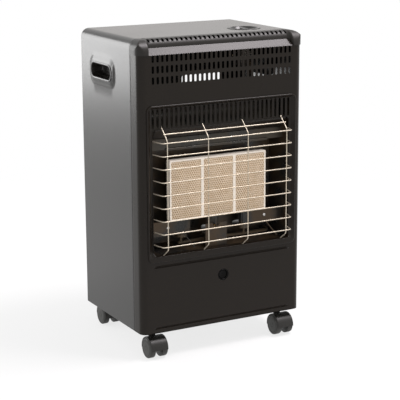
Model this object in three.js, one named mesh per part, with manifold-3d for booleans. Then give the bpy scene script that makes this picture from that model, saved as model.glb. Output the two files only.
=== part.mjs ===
// Portable cabinet gas heater with a radiant plaque burner, on four twin-wheel casters.
// Millimetres, +Z up, the front faces -Y, +X is the right-hand side seen from the front.
// Every piece is placed from the middle of the cabinet at floor level. The whole heater
// is shifted at the end, so that the origin lies under the middle of its bounding box.

import * as THREE from 'three';
import { mergeVertices } from 'three/addons/utils/BufferGeometryUtils.js';
import Module from 'manifold-3d';

const wasm = await Module();
wasm.setup();

// ---------------------------------------------------------------- driving dimensions

// Cabinet
const HEIGHT = 730;                  // floor to top panel
const WIDTH = 420;                   // across the two side panels
const DEPTH = 305;                   // front panel to rear edge, without guard and rear cover
const SKIRT = 62;                    // floor to the lower edge of the cabinet
const SHEET = 1;                     // thickness of the pressed steel sheets
const SEAT = 0.3;                    // gap between pieces that rest against each other
const SEAM_GAP = 0.4;                // visible gap along the seam between wrap and front
const TOP_BEND = 20;                 // outer radius between side and top panel
const CORNER_BEND = 17;              // outer radius of the front panel's upright corners
const PANEL_RETURN = 42;             // how far the front panel runs back along the sides
const REAR_FLANGE = 24;              // width of the inward rear flanges
const TOP_FLANGE = 16;               // height of the rear flange under the top panel
const FOOT_FLANGE = 14;              // width of the inward flanges along the lower edge

// Carrying handles in the side panels
const GRIP_LENGTH = 106;
const GRIP_HEIGHT = 35;
const GRIP_ROUND = 15.5;
const GRIP_Y = 35;
const GRIP_DROP = 87;                 // middle of the handles below the top panel
const GRIP_DEPTH = 30;
const GRIP_WALL = 1.6;
const GRIP_RIM = 2.5;                // width of the rim that lies round the opening
const GRIP_RIM_THICK = 1.2;
const GRIP_RIB = 2.4;                // height of the two grip ribs
const GRIP_RIB_PITCH = 11;
const BULGE = 4;                     // how far the pressed surround stands out
const BULGE_MARGIN = 13;             // width of its slope beside the opening
const BULGE_RISE = 17;               // width of its slope above and below the opening
const BULGE_FLAT = 3;                // flat land round the opening

// Front panel
const FOLD_DROP = 33;                // the upper strip starts to lean back this far below the top
const STRIP = 14.5;                  // how far the 45 degree strip leans back and up
const STRIP_FLANGE = 16;             // flange behind it, under the top trim
const WINDOW_HALF = 191.5;
const WINDOW_DROP = 146;             // window's upper edge below the top panel
const WINDOW_TALL = 353;
const WINDOW_ROUND = 12;
const WINDOW_RETURN = 9;
const VENT_COUNT = 31;               // slots in each row
const VENT_SPAN = 351;               // between the first and the last slot of a row
const VENT_WIDTH = 5.8;
const VENT_HEIGHT = 16;
const VENT_ROWS = 3;
const VENT_ROW_PITCH = 24;
const VENT_DROP = 89;                // lowest row below the top panel
const BEAD_RADIUS = 3.2;             // pressed horizontal beads
const BEAD_DEPTH = 2;
const BEAD_SPAN = 358;
const UPPER_BEAD_DROP = 12.5;        // upper bead below the window
const LOWER_BEAD_RISE = 12;          // lower bead above the panel's lower edge
const BUTTON_DROP = 54;              // ignition button below the window
const BUTTON_HOLE = 28;

// Trim along the top front edge
const TRIM_PROUD = 2;                // overhang over sides and front at the two ears
const TRIM_WALL = 1.6;
const EAR_INNER = 182.5;             // half of the clear width between the ears
const EAR_ROUND = 30;
const NOSE_ROUND = 18;
const NOSE_SETBACK = 14;             // nose behind the front plane
const NOSE_VENT_LENGTH = 12;
const NOSE_VENT_ANGLE = 33;          // degrees from upright, towards the front

// Heater bezel in the window
const BEZEL_RECESS = 4;
const BEZEL_SHEET = 1.2;
const BEZEL_RETURN = 14;
const BEZEL_OPEN_HALF = 177;
const BEZEL_SILL = 12;               // bezel below its opening
const BEZEL_HEAD = 53;               // and above it
const BEZEL_OPEN_ROUND = 8;
const BEZEL_INNER_RETURN = 9;
const TALL_VENT_HEIGHT = 43;
const TALL_VENT_DROP = 28.5;         // their middle below the window's upper edge
const VISOR_REACH = 18;
const VISOR_DROP = 23;

// Burner chamber behind the bezel
const CHAMBER_HALF = 182;
const CHAMBER_SILL = 8;              // chamber's mouth inside the window
const CHAMBER_HEAD = 5;
const CHAMBER_DEPTH = 70;
const CHAMBER_TAPER = 14;            // each side leans in towards the back
const CHAMBER_FLOOR_RISE = 12;
const CHAMBER_ROOF_RISE = 8;
const MOUTH_OVERRUN = 0.01;          // keeps the chamber's mouth open when it is hollowed
const PIPE_HOLE_PLAY = 1;
const DEFLECTOR_RADIUS = 40;
const DEFLECTOR_FROM = -52;          // arc of the curved sheet, in degrees
const DEFLECTOR_TO = 62;
const DEFLECTOR_LIP_DROP = 99;       // lip below the chamber's upper edge
const DEFLECTOR_LIP_SETBACK = 28;
const DEFLECTOR_LIP_RADIUS = 3.5;
const DEFLECTOR_LIP_HALF = 134;
const BULKHEAD_SETBACK = 90.5;       // sheet between burner space and gas cylinder
const BULKHEAD_RISE = 16;            // its upper edge above the window

// Burner
const BURNER_COUNT = 3;
const BURNER_WIDTH = 252;
const BURNER_RISE = 82.5;            // burner's lower edge above the window's
const BURNER_HEAD = 129.5;           // and its upper edge below the window's
const BURNER_SETBACK = 21;           // frame face behind the front plane
const BURNER_BORDER = 4;
const BURNER_BAR = 7;
const PLAQUE_SETBACK = 22;
const PLAQUE_THICK = 12;
const FRAME_DEPTH = 16.5;
const FRAME_CORNER = 1.5;
const FRAME_WALL = 1.2;
const PLENUM_DEPTH = 26;
const PLENUM_TAPER = 9;
const PLENUM_ROUND = 6;
const MIXER_RADIUS = 12;
const MIXER_MOUTH = 15;
const MIXER_FLARE = 10;
const MIXER_SETBACK = 50;
const MIXER_RISE = 38;
const BRACKET_INNER = 70;
const BRACKET_RISE = 49;
const BRACKET_TALL = 28;
const BRACKET_SHEET = 1.5;
const BRACKET_SETBACK = 30;
const STAY_RADIUS = 1.4;
const STAY_LEAN = 16;                // sideways run of the stays in front of the brackets
const STAY_PLACES = [-88, 132];

// Gas train
const PIPE_RADIUS = 4;
const RAIL_RISE = 23;
const RAIL_END = 8;                  // rail beyond the left-hand jet
const RAIL_STEP = 14;                // how far the rail runs back before its feed pipe
const FEED_JOG_LOW = 60;             // height over the rail where the feed leans sideways
const FEED_JOG_HIGH = 120;
const FEED_Z = 14;                   // feed pipe's height above the valve's underside
const PIPE_BEND = 6;
const FEED_X = 150;
const JET_RADIUS = 3.5;
const JET_TIP = 2.4;
const JET_ENTRY = 3;                 // how far a jet reaches into its mixing tube
const PILOT_PIPE_RADIUS = 2.2;
const PILOT_PIPE_BEND = 4;
const PILOT_TAP_X = 4;               // pilot pipe's place beside the valve's edge
const PILOT_TAP_Z = 30;              // and above the valve's underside
const PILOT_PIPE_RISE = 8.5;         // pipe's middle above the pilot's shelf
const PILOT_X = -9;
const PILOT_WIDTH = 56;
const PILOT_TOP_RISE = 67;
const PILOT_SETBACK = 17;
const PILOT_SHELF_RISE = 24;
const PILOT_HEIGHT = 36;
const PILOT_BURNER_RADIUS = 6;
const PILOT_TUBE_RADIUS = 4.5;
const PILOT_BORE_RADIUS = 3;
const PILOT_BORE_DEPTH = 6;
const PILOT_SHOULDER = 2;            // height of the cone between foot and tube
const PILOT_DEEP = 10.5;             // pilot's middle behind its bracket's face
const PILOT_LEDGE = 8;               // shelf behind the pilot's middle
const PILOT_NOTCH = 9;               // radius of the notch in front of the flame
const PROBE_SPREAD = 16;             // electrode and thermocouple beside the pilot
const ELECTRODE_RADIUS = 3;
const SPARK_RADIUS = 1;
const PROBE_RADIUS = 2.5;
const PROBE_TIP = 1.5;
const PROBE_BODY_SHARE = 0.6;        // share of a probe's height that is its thick body

// Control knob in the top panel
const KNOB_X = 119;
const KNOB_Y = -41;
const DIAL_RADIUS = 39.5;
const DIAL_WELL = 23;
const DIAL_DEPTH = 17;
const DIAL_WALL = 1.5;
const DIAL_LIP = 0.8;
const DIAL_RIM = 8;                  // width of the lip that lies on the top panel
const DIAL_STEP = 8;                 // height of the well's upright wall
const KNOB_SKIRT = 3;                // upright edge of the knob's disc, below its round
const KNOB_CROWN = 4;
const KNOB_SOCKET = 2;               // spindle's head below the disc's top
const KNOB_RADIUS = 19;
const KNOB_BASE = 5;
const KNOB_GRIP_WIDTH = 8;
const SPINDLE_RADIUS = 4;
const COLLAR_RADIUS = 8;
const COLLAR_HEIGHT = 3;
const KNOB_TRAVEL = 5;
const VALVE_SIZE = 40;
const VALVE_DROP = 40;               // valve's upper face below the top panel
const VALVE_HEIGHT = 45;
const VALVE_BORE = 9;
const VALVE_NECK = 12;               // height of the valve's round neck
const VALVE_NECK_RADIUS = 15;
const VALVE_ROUND = 8;
const VALVE_PLATE_MARGIN = 8;        // bracket's plate beyond the valve
const BRACKET_FOOT = 12;
const BRACKET_RIM = 8;               // metal left round the opening in each leg
const NOZZLE_LENGTH = 30;
const NOZZLE_Z = 18;                 // nozzle's height above the valve's underside
const NOZZLE_HEX = 8;                // radius and length of its foot
const NOZZLE_FOOT = 6;
const NOZZLE_NECK = 4;
const NOZZLE_RIB = 5.4;
const NOZZLE_RIBS = 3;
const NOZZLE_RIB_PITCH = 6;
const NOZZLE_BORE = 2.4;

// Ignition button
const BUTTON_RADIUS = 10;
const BUTTON_TRAVEL = 6;
const BUTTON_RECESS = 2.5;
const BUTTON_LENGTH = 20;
const BUTTON_DISH = 0.6;             // dish in the button's face
const RING_DEPTH = 12;               // bezel ring behind the front panel
const RING_FLARE = 2;                // funnel at the ring's mouth
const RING_EDGE = 1;
const IGNITER_NUT = 6;
const IGNITER_WALL = 2;
const IGNITER_NUT_DEPTH = 3;
const IGNITER_BODY = 18;
const IGNITER_TAIL = 10;
const IGNITER_TAIL_RADIUS = 5;
const RUNNING_GAP = 0.4;

// Wire guard
const GUARD_PROUD = 27;              // horizontal wires in front of the front panel
const WIRE_RADIUS = 1.75;
const RUNG_COUNT = 9;
const RUNG_RISE = 38.5;              // lowest rung above the window's lower edge
const RUNG_TOP_DROP = 3.5;           // highest rung below the uprights' upper bend
const RUNG_BEND_HALF = 167;
const RUNG_END_SETBACK = 10;
const UPRIGHT_COUNT = 4;
const UPRIGHT_SPAN = 309;
const UPRIGHT_HEAD = 75;             // the uprights' upper bend below the window's upper edge
const UPRIGHT_TOP_RISE = 28;
const UPRIGHT_RISE = 31;
const UPRIGHT_DROP = 22;
const RUNG_BEND = 7;
const UPRIGHT_BEND = 9;
const WELD_DEPTH = 0.8;              // how far crossing wires melt into each other

// Rear
const REAR_PANEL_DROP = 164;
const REAR_NOTCH_LEFT = 55;
const REAR_NOTCH_RIGHT = 168;
const REAR_NOTCH_TALL = 36;
const REAR_NOTCH_ROUND = 8;
const REAR_PANEL_CLEAR = 2;          // rear top panel inside the side walls
const COVER_REACH = 108;             // rear cover behind the rear edge
const COVER_MOUTH_HALF = 186;
const COVER_BACK_HALF = 132;
const COVER_DROP = 182;              // rear cover's upper edge below the top panel
const COVER_ROUND = 18;
const COVER_FLANGE = 19;             // flanges that run in the guide channels
const COVER_LIP = 9;
const GUIDE_WALL = 1;
const GUIDE_GAP = 0.7;
const GUIDE_STOP = 3;
const GUIDE_WIDTH = 12;
const COVER_VENTS = 5;
const COVER_VENT_PITCH = 42;
const COVER_VENT_LENGTH = 32;
const COVER_VENT_HEIGHT = 5;
const COVER_VENT_INSET = 60;         // slot rows inside the cover's upper edge
const COVER_VENT_RISE = 48.2;        // and above its lower edge

// Base with the stand for the gas cylinder
const BASE_SHEET = 1.2;
const BASE_UPSTAND = 15;
const APRON_CLEAR = 2;               // base's rear apron inside the cover's lower lip
const STAND_Y = 96;
const STAND_FOOT = 148;
const STAND_TOP = 141;
const STAND_RISE = 5;
const STAND_FACETS = 28;

// Casters
const WHEEL_RADIUS = 23.5;
const WHEEL_WIDTH = 14;
const WHEEL_SPREAD = 15.5;           // wheel middle from the caster's middle
const WHEEL_FACETS = 16;
const WHEEL_EDGE = 2.2;
const CASTER_TRAIL = 16;             // axle behind the stem
const AXLE_RADIUS = 3;
const AXLE_GAP = 0.25;
const HOOD_GAP = 1.6;
const HOOD_WALL = 2;
const STEM_RADIUS = 4.5;
const STEM_COLLAR = 8;
const COLLAR_THICK = 5;
const STEM_REACH = 20;               // how deep the stem stands in the hood
const SHELL_FROM = -18;              // arc of the hood's shell, in degrees
const SHELL_TO = 190;
const SHELL_CLEAR = 1;               // wheel's outer face beyond the hood
const WEB_GAP = 0.8;
const WEB_FROM = 20;
const AXLE_WALL = 5;
const WHEEL_DISH = 3;                // floor of the wheel's bore
const WHEEL_DOME = 0.6;
const BOSS_RADIUS = 8.5;
const FRONT_CASTER_INSET = 41;       // front stems inside the side panels
const FRONT_CASTER_SETBACK = 36.5;   // and behind the front
const REAR_CASTER_INSET = 52;
const REAR_CASTER_SETBACK = 25.5;    // rear stems before the rear edge

// ---------------------------------------------------------------- derived places

const FRONT = -DEPTH / 2;
const BACK = DEPTH / 2;
const SEAM = FRONT + PANEL_RETURN;
const SIDE = WIDTH / 2;
const FOLD = HEIGHT - FOLD_DROP;
const GRIP_Z = HEIGHT - GRIP_DROP;
const VENT_LOW_ROW = HEIGHT - VENT_DROP;
const WINDOW_HIGH = HEIGHT - WINDOW_DROP;
const WINDOW_LOW = WINDOW_HIGH - WINDOW_TALL;
const BEAD_HEIGHTS = [WINDOW_LOW - UPPER_BEAD_DROP, SKIRT + LOWER_BEAD_RISE];
const BUTTON_Z = WINDOW_LOW - BUTTON_DROP;
const BEZEL_OPEN_LOW = WINDOW_LOW + BEZEL_SILL;
const BEZEL_OPEN_HIGH = WINDOW_HIGH - BEZEL_HEAD;
const TALL_VENT_MID = WINDOW_HIGH - TALL_VENT_DROP;
const CHAMBER_LOW = WINDOW_LOW + CHAMBER_SILL;
const CHAMBER_HIGH = WINDOW_HIGH - CHAMBER_HEAD;
const DEFLECTOR_LIP_Z = CHAMBER_HIGH - DEFLECTOR_LIP_DROP;
const BULKHEAD_TOP = WINDOW_HIGH + BULKHEAD_RISE;
const BURNER_LOW = WINDOW_LOW + BURNER_RISE;
const BURNER_HIGH = WINDOW_HIGH - BURNER_HEAD;
const MIXER_LOW = WINDOW_LOW + MIXER_RISE;
const BRACKET_LOW = WINDOW_LOW + BRACKET_RISE;
const BRACKET_HIGH = BRACKET_LOW + BRACKET_TALL;
const RAIL_Z = WINDOW_LOW + RAIL_RISE;
const PILOT_TOP = WINDOW_LOW + PILOT_TOP_RISE;
const PILOT_SHELF = WINDOW_LOW + PILOT_SHELF_RISE;
const VALVE_TOP = HEIGHT - VALVE_DROP;
const RUNG_LOW = WINDOW_LOW + RUNG_RISE;
const UPRIGHT_LOW_BEND = WINDOW_LOW + UPRIGHT_RISE;
const UPRIGHT_TOP_BEND = WINDOW_HIGH - UPRIGHT_HEAD;
const RUNG_PITCH = (UPRIGHT_TOP_BEND - RUNG_TOP_DROP - RUNG_LOW) / (RUNG_COUNT - 1);
const REAR_PANEL_LOW = HEIGHT - REAR_PANEL_DROP;
const REAR_NOTCH_TOP = REAR_PANEL_LOW + REAR_NOTCH_TALL;
const COVER_TOP = HEIGHT - COVER_DROP;
const BEZEL_Y = FRONT + BEZEL_RECESS;
const CHAMBER_Y = BEZEL_Y + BEZEL_SHEET + SEAT;
const CHAMBER_BACK = CHAMBER_Y + CHAMBER_DEPTH;
const BULKHEAD_Y = FRONT + BULKHEAD_SETBACK;
const PIPE_Y = (CHAMBER_BACK + BULKHEAD_Y) / 2;
const BASE_Z = SKIRT + SHEET + SEAT;
const FLOOR_Z = BASE_Z + BASE_SHEET;
const GUARD_Y = FRONT - GUARD_PROUD;
const COVER_Y = BACK + SEAT + GUIDE_WALL + GUIDE_GAP;
const COVER_BACK_Y = BACK + COVER_REACH;
const GUIDE_FOOT = FLOOR_Z + SEAT;
const COVER_FOOT = GUIDE_FOOT + GUIDE_STOP + SEAT;
const COVER_VENT_ROWS = [COVER_FOOT + COVER_VENT_RISE - SEAT, COVER_TOP - COVER_VENT_INSET];
const DIAL_FLOOR = HEIGHT - DIAL_DEPTH;
const VALVE_LOW = VALVE_TOP - VALVE_HEIGHT;
const COLUMN_PITCH = (BURNER_WIDTH - 2 * BURNER_BORDER + BURNER_BAR) / BURNER_COUNT;
const PLAQUE_WIDTH = COLUMN_PITCH - BURNER_BAR;
const PLAQUE_HEIGHT = BURNER_HIGH - BURNER_LOW - 2 * BURNER_BORDER;
const BURNER_MID = (BURNER_LOW + BURNER_HIGH) / 2;
const PLENUM_Y = FRONT + PLAQUE_SETBACK + PLAQUE_THICK + SEAT;
const MIXER_Y = FRONT + MIXER_SETBACK;
const PILOT_Y = FRONT + PILOT_SETBACK + PILOT_DEEP;
const PILOT_PIPE_Z = PILOT_SHELF + PILOT_PIPE_RISE;
const PILOT_PIPE_X = PILOT_X - 4;
const HOOD_RADIUS = WHEEL_RADIUS + HOOD_GAP + HOOD_WALL;
const HOOD_TOP = WHEEL_RADIUS + HOOD_RADIUS;
const BEYOND = 5;                    // how far cutting bodies reach past what they cut

const FRONT_CASTER_X = SIDE - FRONT_CASTER_INSET;
const FRONT_CASTER_Y = FRONT + FRONT_CASTER_SETBACK;
const REAR_CASTER_X = SIDE - REAR_CASTER_INSET;
const REAR_CASTER_Y = BACK - REAR_CASTER_SETBACK;
const CASTERS = {
  front_left: { x: -FRONT_CASTER_X, y: FRONT_CASTER_Y, turn: 180 },
  front_right: { x: FRONT_CASTER_X, y: FRONT_CASTER_Y, turn: 180 },
  rear_left: { x: -REAR_CASTER_X, y: REAR_CASTER_Y, turn: 0 },
  rear_right: { x: REAR_CASTER_X, y: REAR_CASTER_Y, turn: 0 },
};

// ---------------------------------------------------------------- materials

const paint = (color, roughness, metalness) =>
  new THREE.MeshStandardMaterial({ color, roughness, metalness });

const SATIN_BLACK = () => paint(0x24211d, 0.35, 0.3);
const DARK_PLASTIC = () => paint(0x2b2a28, 0.5, 0);
const WHEEL_GREY = () => paint(0x45453f, 0.6, 0);
const ZINC = () => paint(0x9a9a98, 0.4, 0.9);
const BLUED_STEEL = () => paint(0x2a2622, 0.45, 0.7);
const BRASS = () => paint(0xb08d4c, 0.35, 0.9);
const CERAMIC = () => paint(0xc2ab86, 0.9, 0);
const ALUMINISED = () => paint(0xd8cdbb, 0.45, 0.6);
const CREAM_WIRE = () => paint(0xd9cdb4, 0.35, 0.6);

// ---------------------------------------------------------------- geometry helpers

// Turns a closed three.js geometry into a solid that can be cut and joined.
function solid(geometry) {
  const bare = new THREE.BufferGeometry();
  bare.setAttribute('position', geometry.getAttribute('position'));
  if (geometry.index) bare.setIndex(geometry.index);
  const merged = mergeVertices(bare, 1e-4);
  const index = merged.index.array;
  const faces = [];
  for (let i = 0; i < index.length; i += 3) {
    const [a, b, c] = [index[i], index[i + 1], index[i + 2]];
    if (a !== b && b !== c && c !== a) faces.push(a, b, c);
  }
  return new wasm.Manifold(new wasm.Mesh({
    numProp: 3,
    vertProperties: new Float32Array(merged.attributes.position.array),
    triVerts: new Uint32Array(faces),
  }));
}

const join = (...bodies) => bodies.reduce((sum, body) => sum.add(body));
const cut = (body, ...tools) => tools.reduce((rest, tool) => rest.subtract(tool), body);

// Corners are [u, v] or [u, v, radius]; a corner with a radius becomes an arc.
function filleted(corners, steps = 3) {
  const outline = [];
  corners.forEach(([u, v, radius = 0], i) => {
    const corner = new THREE.Vector2(u, v);
    if (radius <= 0) {
      outline.push(corner);
      return;
    }
    const before = corners[(i + corners.length - 1) % corners.length];
    const after = corners[(i + 1) % corners.length];
    const back = new THREE.Vector2(before[0] - u, before[1] - v).normalize();
    const ahead = new THREE.Vector2(after[0] - u, after[1] - v).normalize();
    const half = Math.acos(THREE.MathUtils.clamp(back.dot(ahead), -1, 1)) / 2;
    const middle = back.clone().add(ahead).normalize().multiplyScalar(radius / Math.sin(half));
    const centre = corner.clone().add(middle);
    const start = corner.clone().addScaledVector(back, radius / Math.tan(half)).sub(centre);
    const end = corner.clone().addScaledVector(ahead, radius / Math.tan(half)).sub(centre);
    const sweep = Math.atan2(start.cross(end), start.dot(end));
    for (let k = 0; k <= steps; k += 1) {
      const turned = start.clone().rotateAround(new THREE.Vector2(), sweep * k / steps);
      outline.push(turned.add(centre));
    }
  });
  return outline;
}

const rectangle = (u0, v0, u1, v1, radius = 0) =>
  [[u0, v0, radius], [u1, v0, radius], [u1, v1, radius], [u0, v1, radius]];

// Prisms: the outline lies in the plane square to the named axis.
const AXES = {
  x: [[0, 1, 0], [0, 0, 1], [1, 0, 0]],      // outline (y, z), pushed along +X
  y: [[1, 0, 0], [0, 0, 1], [0, -1, 0]],     // outline (x, z), pushed along Y
  z: [[1, 0, 0], [0, 1, 0], [0, 0, 1]],      // outline (x, y), pushed along +Z
};

function prism(axis, outline, from, to, holes = []) {
  const shape = new THREE.Shape(outline);
  shape.holes = holes.map((hole) => new THREE.Path(hole));
  const depth = to - from;
  const geometry = new THREE.ExtrudeGeometry(shape, { depth, bevelEnabled: false, steps: 1 });
  const [u, v, w] = AXES[axis].map((direction) => new THREE.Vector3(...direction));
  geometry.applyMatrix4(new THREE.Matrix4().makeBasis(u, v, w));
  const shift = axis === 'y' ? to : from;
  geometry.translate(axis === 'x' ? shift : 0, axis === 'y' ? shift : 0, axis === 'z' ? shift : 0);
  return solid(geometry);
}

const box = (x0, x1, y0, y1, z0, z1) => {
  const geometry = new THREE.BoxGeometry(x1 - x0, y1 - y0, z1 - z0);
  return solid(geometry.translate((x0 + x1) / 2, (y0 + y1) / 2, (z0 + z1) / 2));
};

// A straight round bar or disc between two points.
function rod(from, to, radius, sides = 12, endRadius = radius) {
  const start = new THREE.Vector3(...from);
  const end = new THREE.Vector3(...to);
  const along = end.clone().sub(start);
  const geometry = new THREE.CylinderGeometry(endRadius, radius, along.length(), sides);
  const turn = new THREE.Quaternion().setFromUnitVectors(new THREE.Vector3(0, 1, 0), along.normalize());
  geometry.applyQuaternion(turn);
  const middle = start.add(end).multiplyScalar(0.5);
  return solid(geometry.translate(middle.x, middle.y, middle.z));
}

// A closed skin over rings of points; all rings are convex and have as many points.
function loft(rings) {
  const count = rings[0].length;
  const positions = rings.flat().flat();
  const faces = [];
  for (let ring = 0; ring < rings.length - 1; ring += 1) {
    for (let i = 0; i < count; i += 1) {
      const a = ring * count + i;
      const b = ring * count + (i + 1) % count;
      faces.push(a, b, b + count, a, b + count, a + count);
    }
  }
  const last = (rings.length - 1) * count;
  for (let i = 1; i < count - 1; i += 1) {
    faces.push(0, i + 1, i);
    faces.push(last, last + i, last + i + 1);
  }
  const geometry = new THREE.BufferGeometry();
  geometry.setAttribute('position', new THREE.Float32BufferAttribute(positions, 3));
  geometry.setIndex(faces);
  return solid(geometry);
}

// A body between an outline at one depth and another one further back (outlines in x, z).
function taper(front, frontY, back, backY) {
  const place = (outline, y) => outline.map((point) => [point.x, y, point.y]);
  return loft([place(back, backY), place(front, frontY)]);
}

// A turned body about an upright axis, from a profile of [radius, height] pairs.
function turned(profile, sides, start = 0) {
  const points = profile.map(([radius, height]) => new THREE.Vector2(radius, height));
  const geometry = new THREE.LatheGeometry(points, sides, start);
  return solid(geometry.rotateX(Math.PI / 2));
}

// A bent rod's middle line: straight stretches with an arc at every corner.
class BentPath extends THREE.Curve {
  constructor(corners, bendRadius, bendSteps) {
    super();
    this.stations = [];
    corners.forEach((corner, i) => {
      const here = new THREE.Vector3(...corner);
      if (i === 0 || i === corners.length - 1) {
        this.stations.push(here);
        return;
      }
      const back = new THREE.Vector3(...corners[i - 1]).sub(here).normalize();
      const ahead = new THREE.Vector3(...corners[i + 1]).sub(here).normalize();
      const half = back.angleTo(ahead) / 2;
      const reach = bendRadius / Math.tan(half);
      const inward = back.clone().add(ahead).normalize();
      const centre = here.clone().addScaledVector(inward, bendRadius / Math.sin(half));
      const start = here.clone().addScaledVector(back, reach).sub(centre);
      const axis = back.clone().cross(ahead).normalize();
      const sweep = 2 * half - Math.PI;
      for (let k = 0; k <= bendSteps; k += 1) {
        const spoke = start.clone().applyAxisAngle(axis, sweep * k / bendSteps);
        this.stations.push(spoke.add(centre));
      }
    });
    this.steps = this.stations.length - 1;
  }

  getPoint(t) {
    const place = t * this.steps;
    const i = Math.min(Math.floor(place + 1e-9), this.steps - 1);
    return this.stations[i].clone().lerp(this.stations[i + 1], place - i);
  }

  getTangent(t) {
    const i = Math.round(t * this.steps);
    const before = this.stations[Math.max(i - 1, 0)];
    const here = this.stations[i];
    const after = this.stations[Math.min(i + 1, this.steps)];
    const arriving = here.clone().sub(before).normalize();
    return arriving.add(after.clone().sub(here).normalize()).normalize();
  }

  getUtoTmapping(u) {
    return u;
  }
}

function bentRod(corners, radius, bendRadius, { sides = 6, bendSteps = 2 } = {}) {
  const extrudePath = new BentPath(corners, bendRadius, bendSteps);
  const section = [];
  for (let k = 0; k < sides; k += 1) {
    const angle = 2 * Math.PI * k / sides;
    section.push(new THREE.Vector2(radius * Math.cos(angle), radius * Math.sin(angle)));
  }
  const shape = new THREE.Shape(section);
  return solid(new THREE.ExtrudeGeometry(shape, { steps: extrudePath.steps, extrudePath }));
}

const heater = new THREE.Group();

function piece(name, body, material, parent = heater) {
  const { vertProperties, triVerts } = body.getMesh();
  const geometry = new THREE.BufferGeometry();
  geometry.setAttribute('position', new THREE.BufferAttribute(vertProperties, 3));
  geometry.setIndex(new THREE.BufferAttribute(triVerts, 1));
  geometry.computeVertexNormals();
  const mesh = new THREE.Mesh(geometry, material);
  mesh.name = name;
  parent.add(mesh);
  return mesh;
}

// Evenly spaced places with the given distance from the first to the last.
const spread = (count, span) =>
  Array.from({ length: count }, (_, i) => span * (i / (count - 1) - 0.5));

// ---------------------------------------------------------------- cabinet wrap

// Outline of side, top and side, seen from the front.
const wrapOutline = (inset, foot) => filleted([
  [-SIDE + inset, foot],
  [SIDE - inset, foot],
  [SIDE - inset, HEIGHT - inset, TOP_BEND - inset],
  [-SIDE + inset, HEIGHT - inset, TOP_BEND - inset],
], 6);

const gripOutline = (grow) => filleted(rectangle(
  GRIP_Y - GRIP_LENGTH / 2 - grow,
  GRIP_Z - GRIP_HEIGHT / 2 - grow,
  GRIP_Y + GRIP_LENGTH / 2 + grow,
  GRIP_Z + GRIP_HEIGHT / 2 + grow,
  GRIP_ROUND + grow,
));

// The pressed surround that swells out round the grip on one side (side is -1 or 1).
function bulge(side, inset) {
  const foot = filleted(rectangle(
    GRIP_Y - GRIP_LENGTH / 2 - BULGE_MARGIN,
    GRIP_Z - GRIP_HEIGHT / 2 - BULGE_RISE,
    GRIP_Y + GRIP_LENGTH / 2 + BULGE_MARGIN,
    GRIP_Z + GRIP_HEIGHT / 2 + BULGE_RISE,
    GRIP_ROUND + BULGE_MARGIN,
  ));
  const crown = gripOutline(BULGE_FLAT);
  const place = (outline, x) => outline.map((point) => [x, point.x, point.y]);
  const rings = [
    place(foot, side * (SIDE - inset - SHEET / 2)),
    place(foot, side * (SIDE - inset)),
    place(crown, side * (SIDE - inset + BULGE)),
  ];
  return loft(side > 0 ? rings : rings.reverse());
}

function cabinetWrap() {
  const front = SEAM + SEAM_GAP;
  let outer = prism('y', wrapOutline(0, SKIRT), front, BACK);
  let inner = prism('y', wrapOutline(SHEET, SKIRT - BEYOND), front - BEYOND, BACK + BEYOND);
  for (const side of [-1, 1]) {
    outer = outer.add(bulge(side, 0));
    inner = inner.add(bulge(side, SHEET));
  }
  let wrap = outer.subtract(inner);
  const rearSheet = prism('y', wrapOutline(0, SKIRT), BACK - SHEET, BACK);
  const rearOpening = prism('y', filleted([
    [-SIDE + REAR_FLANGE, SKIRT - BEYOND],
    [SIDE - REAR_FLANGE, SKIRT - BEYOND],
    [SIDE - REAR_FLANGE, HEIGHT - TOP_FLANGE, TOP_BEND / 2],
    [-SIDE + REAR_FLANGE, HEIGHT - TOP_FLANGE, TOP_BEND / 2],
  ], 3), BACK - SHEET - BEYOND, BACK + BEYOND);
  wrap = wrap.add(rearSheet.subtract(rearOpening));
  for (const side of [-1, 1]) {
    const edge = side * (SIDE - SHEET / 2);
    const inward = side * (SIDE - FOOT_FLANGE);
    const [x0, x1] = [Math.min(edge, inward), Math.max(edge, inward)];
    wrap = wrap.add(box(x0, x1, front, BACK - SHEET / 2, SKIRT, SKIRT + SHEET));
    const reach = side * (SIDE + BULGE + BEYOND);
    const deep = side * (SIDE - BEYOND);
    wrap = cut(wrap, prism('x', gripOutline(0), Math.min(reach, deep), Math.max(reach, deep)));
  }
  const dialHole = DIAL_RADIUS - BEYOND;
  const above = [KNOB_X, KNOB_Y, HEIGHT + BEYOND];
  return wrap.subtract(rod([KNOB_X, KNOB_Y, HEIGHT - BEYOND], above, dialHole, 24));
}

// ---------------------------------------------------------------- handle cups

function handleCup(side) {
  const x = (reach) => side * (SIDE + BULGE + reach);
  const [rimIn, rimOut] = [x(SEAT), x(SEAT + GRIP_RIM_THICK)];
  const rim = prism('x', gripOutline(GRIP_RIM), Math.min(rimIn, rimOut), Math.max(rimIn, rimOut));
  const cup = (shrink, mouth, depth) => {
    const place = (outline, at) => outline.map((point) => [at, point.x, point.y]);
    const rings = [
      place(gripOutline(-SEAT - shrink), x(mouth)),
      place(gripOutline(-SEAT - shrink), x(-depth / 3)),
      place(gripOutline(-SEAT - shrink - GRIP_WALL), x(-depth)),
    ];
    return loft(side > 0 ? rings.reverse() : rings);
  };
  const wall = cup(0, SEAT + GRIP_RIM_THICK, GRIP_DEPTH);
  const hollow = cup(GRIP_WALL, SEAT + GRIP_RIM_THICK + BEYOND, GRIP_DEPTH - GRIP_WALL);
  let body = cut(rim.add(wall), hollow);
  for (const step of [-0.5, 0.5]) {
    const z = GRIP_Z + step * GRIP_RIB_PITCH;
    const deep = x(-GRIP_DEPTH + GRIP_WALL / 2);
    const crest = x(-GRIP_DEPTH + GRIP_WALL + GRIP_RIB);
    const half = GRIP_LENGTH / 2 - GRIP_ROUND;
    const [x0, x1] = [Math.min(deep, crest), Math.max(deep, crest)];
    body = body.add(box(x0, x1, GRIP_Y - half, GRIP_Y + half, z - GRIP_RIB / 2, z + GRIP_RIB / 2));
  }
  return body;
}

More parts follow.
